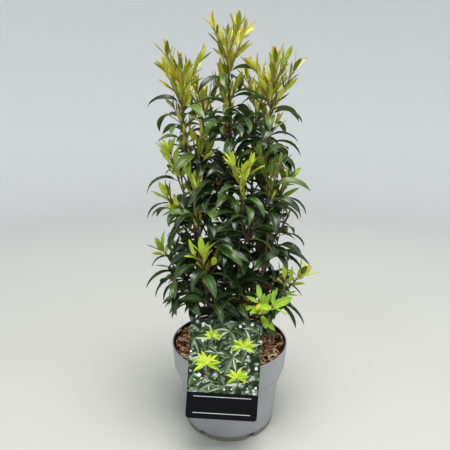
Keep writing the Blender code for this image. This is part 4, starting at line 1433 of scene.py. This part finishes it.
def make_limbs():
    """Trunk and boughs in bark, in place of their plain solids."""
    heights = [TRUNK_HEIGHT * k / STOCK_RINGS for k in range(STOCK_RINGS + 1)]
    path = [UP * (MIX_HEIGHT + FIT + h) for h in heights]
    radii = [on_lines(TRUNK_RADII, h) for h in heights]
    for degrees in range(10, 90, 10):
        lift = math.radians(degrees)
        path.append(UP * (KNUCKLE_CENTRE.z + KNUCKLE_RADIUS * math.sin(lift)))
        radii.append(KNUCKLE_RADIUS * math.cos(lift))
    shape = Shape().add(*bark_tube(path, radii, STOCK_SIDES, STOCK_GRAIN, STOCK_LUMP), "bark")
    for name in BOUGHS:
        route, radii = eased(*bough_line(name), BOUGH_EASING)
        begin = route[0] - (route[1] - route[0]).normalized() * BOUGH_SINK
        shape.add(*bark_tube([begin, *route], [radii[0], *radii], BOUGH_SIDES, BOUGH_GRAIN), "bark")
    limbs = shape.piece("trunk_and_boughs", "bark", SHARP)
    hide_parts("trunk", *[f"bough_{name}" for name in BOUGHS])


# Pieces of the pot


def inner_pot_radius(height):
    """Radius of the pot's inside at a height."""
    return on_lines(POT_LEVELS, height) - WALL


def make_pot():
    """The pot with its edges rounded, grey outside and near black inside, with painted shade on its recessed
    foot ring.
    """
    floor_top = FOOT_HEIGHT + WALL
    outside = [
        (0.0, 0.0),
        (CENTRE_PAD_RADIUS, 0.0),
        (CENTRE_PAD_RADIUS, FOOT_HEIGHT),
        (FOOT_INNER_RADIUS, FOOT_HEIGHT),
        (FOOT_INNER_RADIUS, 0.0),
        (FOOT_OUTER_RADIUS, 0.0),
        (FOOT_OUTER_RADIUS, FOOT_HEIGHT - FOOT_STEP),
        *[(radius, height) for height, radius in POT_LEVELS],
        (RIM_RADIUS - RIM_LIP_WIDTH, POT_HEIGHT),
    ]
    inside_heights = (POT_HEIGHT - RIM_LIP_DEPTH, COLLAR_FOOT_HEIGHT, SHOULDER_FOOT_HEIGHT, floor_top)
    inside = [(inner_pot_radius(h), h) for h in inside_heights]
    points, faces = turned(rounded([*outside, *inside, (0.0, floor_top)], POT_EDGE), POT_SIDES)
    outer_faces = (ROUNDING_POINTS * (len(outside) - 1) - 1) * POT_SIDES
    finishes = ["pot"] * outer_faces + ["pot_inside"] * (len(faces) - outer_faces)
    # The faces of the foot ring, recessed under the wall, get a darker grey: painted shade.
    for n, face in enumerate(faces):
        if max(points[c].z for c in face) < FOOT_HEIGHT:
            finishes[n] = "pot_foot"
    pot = Shape().add(points, faces, finishes).piece("nursery_pot", "pot_plastic")
    open_pot(pot)
    smooth(pot.data, POT_SHARP)
    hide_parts("pot")


def open_pot(pot):
    """Opens the gaps between the feet, and the drain slots in the floor."""
    gap_reach = (FOOT_INNER_RADIUS + FOOT_OUTER_RADIUS) / 2
    openings = (
        ((gap_reach, 0.0, 0.0), (FOOT_GAP_DEPTH, FOOT_GAP_WIDTH, 2 * FOOT_GAP_HEIGHT)),
        ((DRAIN_START_RADIUS + DRAIN_LENGTH / 2, 0.0, FOOT_HEIGHT), (DRAIN_LENGTH, DRAIN_WIDTH, 4 * WALL)),
    )
    blocks = bmesh.new()
    for k in range(FOOT_GAPS):
        spin = Matrix.Rotation(math.radians(FOOT_GAP_FIRST_BEARING + 360.0 * k / FOOT_GAPS), 4, "Z")
        for centre, size in openings:
            place = spin @ Matrix.Translation(centre) @ Matrix.Diagonal((*size, 1.0))
            bmesh.ops.create_cube(blocks, size=1.0, matrix=place)
    mesh = bpy.data.meshes.new("pot_cutter")
    blocks.to_mesh(mesh)
    blocks.free()
    cutter = put("pot_cutter", mesh)
    cut = pot.modifiers.new("openings", "BOOLEAN")
    cut.operation = "DIFFERENCE"
    cut.object = cutter
    graph = bpy.context.evaluated_depsgraph_get()
    pot.data = bpy.data.meshes.new_from_object(pot.evaluated_get(graph))
    pot.modifiers.clear()
    bpy.data.objects.remove(cutter)


def mix_top(x, y):
    """Height of the potting mix at a place: banked up to the wall, and lumpy."""
    away = math.hypot(x, y)
    share = min(1.0, away / (inner_pot_radius(MIX_HEIGHT) - MIX_WALL_GAP))
    lumps = noise.fractal(Vector((x, y, MIX_LUMP_SLICE)) * MIX_LUMPS, *LAYERS) * MIX_ROUGHNESS
    return MIX_HEIGHT + MIX_EDGE_LIFT * share**4 + lumps * min(1.0, away / MIX_BARE_RADIUS)


def make_mix():
    """The potting mix with a lumpy top."""
    floor = FOOT_HEIGHT + WALL + FIT
    side_heights = (floor, SHOULDER_FOOT_HEIGHT, COLLAR_FOOT_HEIGHT, MIX_HEIGHT)
    profile = [(0.0, floor), *[(inner_pot_radius(h) - MIX_WALL_GAP, h) for h in side_heights]]
    edge = profile[-1][0]
    profile += [(edge * (1 - k / MIX_RINGS), MIX_HEIGHT) for k in range(1, MIX_RINGS)]
    points, faces = turned([*profile, (0.0, MIX_HEIGHT)], MIX_SIDES)
    for p in points:
        if p.z > COLLAR_FOOT_HEIGHT + FIT:
            p.z = mix_top(p.x, p.y)
    mix = Shape().add(points, faces, "soil").piece("potting_mix_top", "potting_mix", SHARP)
    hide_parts("potting_mix")


def fibre(rng, here):
    """Centre line of a curled fibre, and its points and faces."""
    heading, length = rng.uniform(0.0, 360.0), rng.uniform(*FIBRE_LENGTH)
    curl, rise = rng.uniform(-FIBRE_CURL, FIBRE_CURL), rng.uniform(*FIBRE_LIFT)
    start, stretch = FIBRE_ARCH
    last = len(FIBRE_SWELL) - 1
    path = []
    for k in range(last + 1):
        lift = rise * math.sin(math.pi * (start + stretch * k / last)) + rng.uniform(0.0, FIBRE_WANDER)
        path.append(Vector((here.x, here.y, mix_top(here.x, here.y) + lift - FIBRE_SINK)))
        here = here + towards(heading + curl * k / last) * (length / last)
    radius = rng.uniform(*FIBRE_RADIUS)
    return path, *tube(path, [radius * swell for swell in FIBRE_SWELL], 3)


def chip(rng, here):
    """Corners of a flat chip of bark, and its points and faces."""
    length = rng.uniform(*CHIP_LENGTH)
    width, height = length * rng.uniform(*CHIP_WIDTH), rng.uniform(*CHIP_HEIGHT)
    place = Matrix.Translation((here.x, here.y, mix_top(here.x, here.y) + CHIP_LIFT))
    place @= Matrix.Rotation(rng.uniform(0.0, math.tau), 4, "Z")
    tilt = Matrix.Rotation(rng.uniform(-CHIP_TILT, CHIP_TILT), 4, "Y")
    place @= tilt @ Matrix.Rotation(rng.uniform(-CHIP_ROLL, CHIP_ROLL), 4, "X")
    outline = []
    for k in range(CHIP_CORNERS):
        turn, reach = math.tau * k / CHIP_CORNERS, rng.uniform(*CHIP_REACH)
        outline.append((length / 2 * math.cos(turn) * reach, width / 2 * math.sin(turn) * reach))
    flat, faces = plate(outline, -height / 2, height / 2)
    points = [place @ Vector((p.x, p.z, p.y)) for p in flat]
    return points, points, [face[::-1] for face in faces]


def make_litter():
    """Loose coir fibres and bark chips on the mix, none of them through the pot or the trunk."""
    rng = dice("fibres")
    edge = inner_pot_radius(MIX_HEIGHT) - LOOSE_EDGE_GAP
    kinds = (
        ("coir_fibres", fibre, FIBRES, FIBRE_SPREAD, FIBRE_ROOM, FIBRE_TONES, SHARP),
        ("bark_chips", chip, CHIPS, CHIP_SPREAD, CHIP_ROOM, FIBRE_TONES[:4], CHIP_SHARP),
    )
    for name, one, count, spread, room, tones, sharp in kinds:
        shape = Shape()
        for _ in range(count):
            here = towards(rng.uniform(0.0, 360.0)) * edge * math.sqrt(rng.uniform(*spread))
            touched, points, faces = one(rng, here)
            if all(room < math.hypot(p.x, p.y) < edge for p in touched):
                shape.add(points, faces, rng.choice(tones))
        shape.piece(name, "potting_mix", sharp)


# Card and stake


def card_back(height):
    """Y of the card's back at a height. The card leans on the rim, its foot out and its head in."""
    return -(RIM_RADIUS + FIT) + (height - POT_HEIGHT) * math.tan(CARD_TILT)


def card_place():
    height = POT_HEIGHT + CARD_TOP_ABOVE_RIM - CARD_LENGTH / 2 * math.cos(CARD_TILT)
    place = Matrix.Translation((CARD_CENTRE_X, card_back(height), height))
    return place @ Matrix.Rotation(-CARD_TILT, 4, "X") @ Matrix.Rotation(CARD_ROLL, 4, "Y")


def card_outline(low, high, inset=0.0):
    """Rounded outline of the card between two shares of its length, square where it is cut across."""
    half, radius = CARD_WIDTH / 2 - inset, CARD_CORNER_RADIUS - inset
    bottom = CARD_LENGTH * (low - 0.5) + (inset if low == 0 else 0.0)
    top = CARD_LENGTH * (high - 0.5) - (inset if high == 1 else 0.0)
    outline = []
    for k, (side, end) in enumerate(((1, 1), (-1, 1), (-1, -1), (1, -1))):
        edge = top if end > 0 else bottom
        if (end > 0 and high < 1) or (end < 0 and low > 0):
            outline.append((side * half, edge))
            continue
        for i in range(CARD_CORNER_STEPS + 1):
            turn = math.radians(90.0 * (k + i / CARD_CORNER_STEPS))
            x = side * (half - radius) + radius * math.cos(turn)
            outline.append((x, edge - end * radius + radius * math.sin(turn)))
    return outline


def print_leaf(x, z, turn, length, width, droop):
    """Right and left half of a printed leaf, from its foot at a turn from upright, bent over by a droop."""

    def side(reaches):
        made = []
        for (share, _), reach in zip(PRINT_LEAF_OUTLINE, reaches):
            way, across = turn + droop * share / 2, turn + droop * share
            middle = Vector((x + length * share * math.sin(way), z + length * share * math.cos(way)))
            made.append(tuple(middle + Vector((math.cos(across), -math.sin(across))) * (width / 2 * reach)))
        return made

    reaches = [reach for _, reach in PRINT_LEAF_OUTLINE]
    spine = side([0.0] * len(reaches))
    return side(reaches) + spine[-2:0:-1], spine + side([-reach for reach in reaches])[-2:0:-1]


def on_print(outline):
    """True where a shape keeps to the picture above the band."""
    low, high = CARD_LENGTH * (CARD_BAND - 0.5) + PRINT_EDGE, CARD_LENGTH / 2 - PRINT_EDGE
    return all(abs(x) < CARD_WIDTH / 2 - PRINT_EDGE and low < z < high for x, z in outline)


class Print:
    """Layers of ink on the front of the card, each a hair in front of the one before."""

    def __init__(self):
        self.shape = Shape()
        self.layers = 0

    def add(self, *inks):
        """One layer, of outlines that each come with a finish."""
        self.layers += 1
        front = -CARD_THICKNESS - PRINT_LAYER * self.layers
        for outline, finish in inks:
            self.shape.add(*plate(outline, front, -CARD_THICKNESS), finish)

    def leaf(self, x, z, turn, length, width, finishes):
        """A leaf with a light and a dark half, shortened until it is inside the picture."""
        droop = math.copysign(PRINT_DROOP, math.sin(turn))
        for size in PRINT_SIZES:
            halves = print_leaf(x, z, turn, length * size, width * size, droop)
            if on_print(halves[0] + halves[1]):
                self.add(*zip(halves, finishes))
                return


def print_picture(picture):
    """A leafy ground with pale flecks behind, and four young shoots in front."""
    rng = dice("print")
    foot, head = CARD_LENGTH * (CARD_BAND - 0.5), CARD_LENGTH / 2
    for _ in range(PRINT_FLECKS):
        x, z = rng.uniform(-0.5, 0.5) * CARD_WIDTH, rng.uniform(foot, head)
        reach = rng.uniform(*FLECK_RADIUS)
        turns = [math.tau * k / FLECK_SIDES for k in range(FLECK_SIDES)]
        fleck = [(x + reach * math.cos(turn), z + reach * math.sin(turn)) for turn in turns]
        if on_print(fleck):
            picture.add((fleck, rng.choice(FLECK_TONES)))
    first, step, stray = PRINT_LEAF_TURNS
    for _ in range(PRINT_SHOOTS):
        x, z = rng.uniform(-0.5, 0.5) * CARD_WIDTH, rng.uniform(foot, head)
        for k in range(PRINT_LEAVES):
            turn = math.radians(first + step * k + rng.uniform(-stray, stray))
            length = rng.uniform(*PRINT_LEAF_LENGTH)
            tones = rng.choice(PRINT_OLD_TONES)
            picture.leaf(x, z, turn, length, length * rng.uniform(*PRINT_LEAF_WIDTH), tones)
    drop, lean, width = PRINT_STEM
    for x, z, size in PRINT_YOUNG_SHOOTS:
        picture.leaf(x, z - size * drop, lean, size, size * width, ("print_stem", "print_stem"))
        for ring, count, fan in PRINT_YOUNG_RINGS:
            for k in range(count):
                stray = rng.uniform(-PRINT_YOUNG_STRAY, PRINT_YOUNG_STRAY)
                turn = math.radians(fan * (2.0 * (k + 0.5) / count - 1.0) + stray)
                tones = rng.choice(PRINT_YOUNG_TONES)
                picture.leaf(x, z, turn, size * ring, size * ring * PRINT_YOUNG_WIDTH, tones)


def make_card():
    """The card with a plain pattern of leaves over a black band, and no words."""
    points, faces = plate(card_outline(0.0, 1.0), -CARD_THICKNESS, 0.0)
    finishes = ["card_edge", "card_white", *["card_edge"] * (len(faces) - 2)]
    front = Shape().add(points, faces, finishes).piece("plant_card", "label_card", CARD_SHARP)
    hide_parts("label_card")
    picture = Print()
    picture.add((card_outline(CARD_BAND, 1.0, PRINT_INSET), "card_ground"))
    picture.add((card_outline(0.0, CARD_BAND, PRINT_INSET), "card_black"))
    half, low = CARD_WIDTH / 2 - RULE_INSET, -CARD_LENGTH / 2
    for z in (low + CARD_LENGTH * CARD_BAND - RULE_FROM_TOP, low + RULE_FROM_FOOT):
        rule = [(half, z), (half, z + RULE_WIDTH), (-half, z + RULE_WIDTH), (-half, z)]
        picture.add((rule, "card_white"))
    print_picture(picture)
    ink = picture.shape.piece("card_print", "label_card")
    for piece in (front, ink):
        piece.data.transform(card_place())


def dress_stake():
    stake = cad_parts["label_stake"].data
    stake.materials.clear()
    stake.materials.append(material("stake"))


# Floor, lights and camera


def make_stage():
    """Pale floor that sweeps up all round, far from the plant, with painted shade near the plant and painted
    light further out, which even out the lamps' light.
    """
    profile = [(0.0, 0.0), (STAGE_RADIUS, 0.0)]
    for degrees in range(6, 91, 6):
        turn = math.radians(degrees)
        reach = STAGE_RADIUS + STAGE_SWEEP * math.sin(turn)
        profile.append((reach, STAGE_SWEEP - STAGE_SWEEP * math.cos(turn)))
    profile.append((STAGE_RADIUS + STAGE_SWEEP, STAGE_HEIGHT))
    points, faces = turned(profile, STAGE_SIDES)
    Shape().add(points, [face[::-1] for face in faces], "floor").made("floor", 180.0)


def make_lights():
    """Soft studio light: mostly from above, with a fill from the front."""
    for name, (place, size, watts) in LIGHTS.items():
        lamp = bpy.data.lights.new(name, "AREA")
        lamp.shape = "DISK"
        lamp.size = size
        lamp.energy = watts
        made = put(name, lamp)
        made.location = place
        made.rotation_euler = (Vector(LIGHT_TARGET) - Vector(place)).to_track_quat("-Z", "Y").to_euler()
    world = bpy.data.worlds.new("studio")
    world.use_nodes = True
    sky = world.node_tree.nodes["Background"]
    sky.inputs["Color"].default_value = SKY_COLOUR
    sky.inputs["Strength"].default_value = SKY_STRENGTH
    bpy.context.scene.world = world
    bpy.context.scene.view_settings.view_transform = "Standard"


def make_camera():
    """The photo's own view: a little above the plant and looking down on it."""
    lens = bpy.data.cameras.new("camera")
    lens.sensor_width = CAMERA_SENSOR
    lens.lens = CAMERA_LENS
    lens.clip_start = CAMERA_NEAREST
    camera = put("camera", lens)
    camera.location = CAMERA_PLACE
    camera.rotation_euler = (math.radians(90.0 - CAMERA_DIP), 0.0, 0.0)
    bpy.context.scene.camera = camera


def main():
    limbs = []
    for name in ("pot", "potting_mix", "label_card", "label_stake", "trunk", *[f"bough_{n}" for n in BOUGHS]):
        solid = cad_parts[name].data
        limbs.append(tree_of([v.co for v in solid.vertices], [list(p.vertices) for p in solid.polygons]))
    crown = grow_crown(limbs)
    make_leaves(crown)
    make_twigs(crown)
    make_limbs()
    make_pot()
    make_mix()
    make_litter()
    make_card()
    dress_stake()
    make_stage()
    make_lights()
    make_camera()


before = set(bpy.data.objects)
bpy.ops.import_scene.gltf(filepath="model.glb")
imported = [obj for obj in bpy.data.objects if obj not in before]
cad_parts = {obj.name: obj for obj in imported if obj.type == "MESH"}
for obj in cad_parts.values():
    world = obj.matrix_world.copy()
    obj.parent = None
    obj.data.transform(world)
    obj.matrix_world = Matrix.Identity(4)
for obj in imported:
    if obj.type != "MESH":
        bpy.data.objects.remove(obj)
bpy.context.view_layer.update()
main()
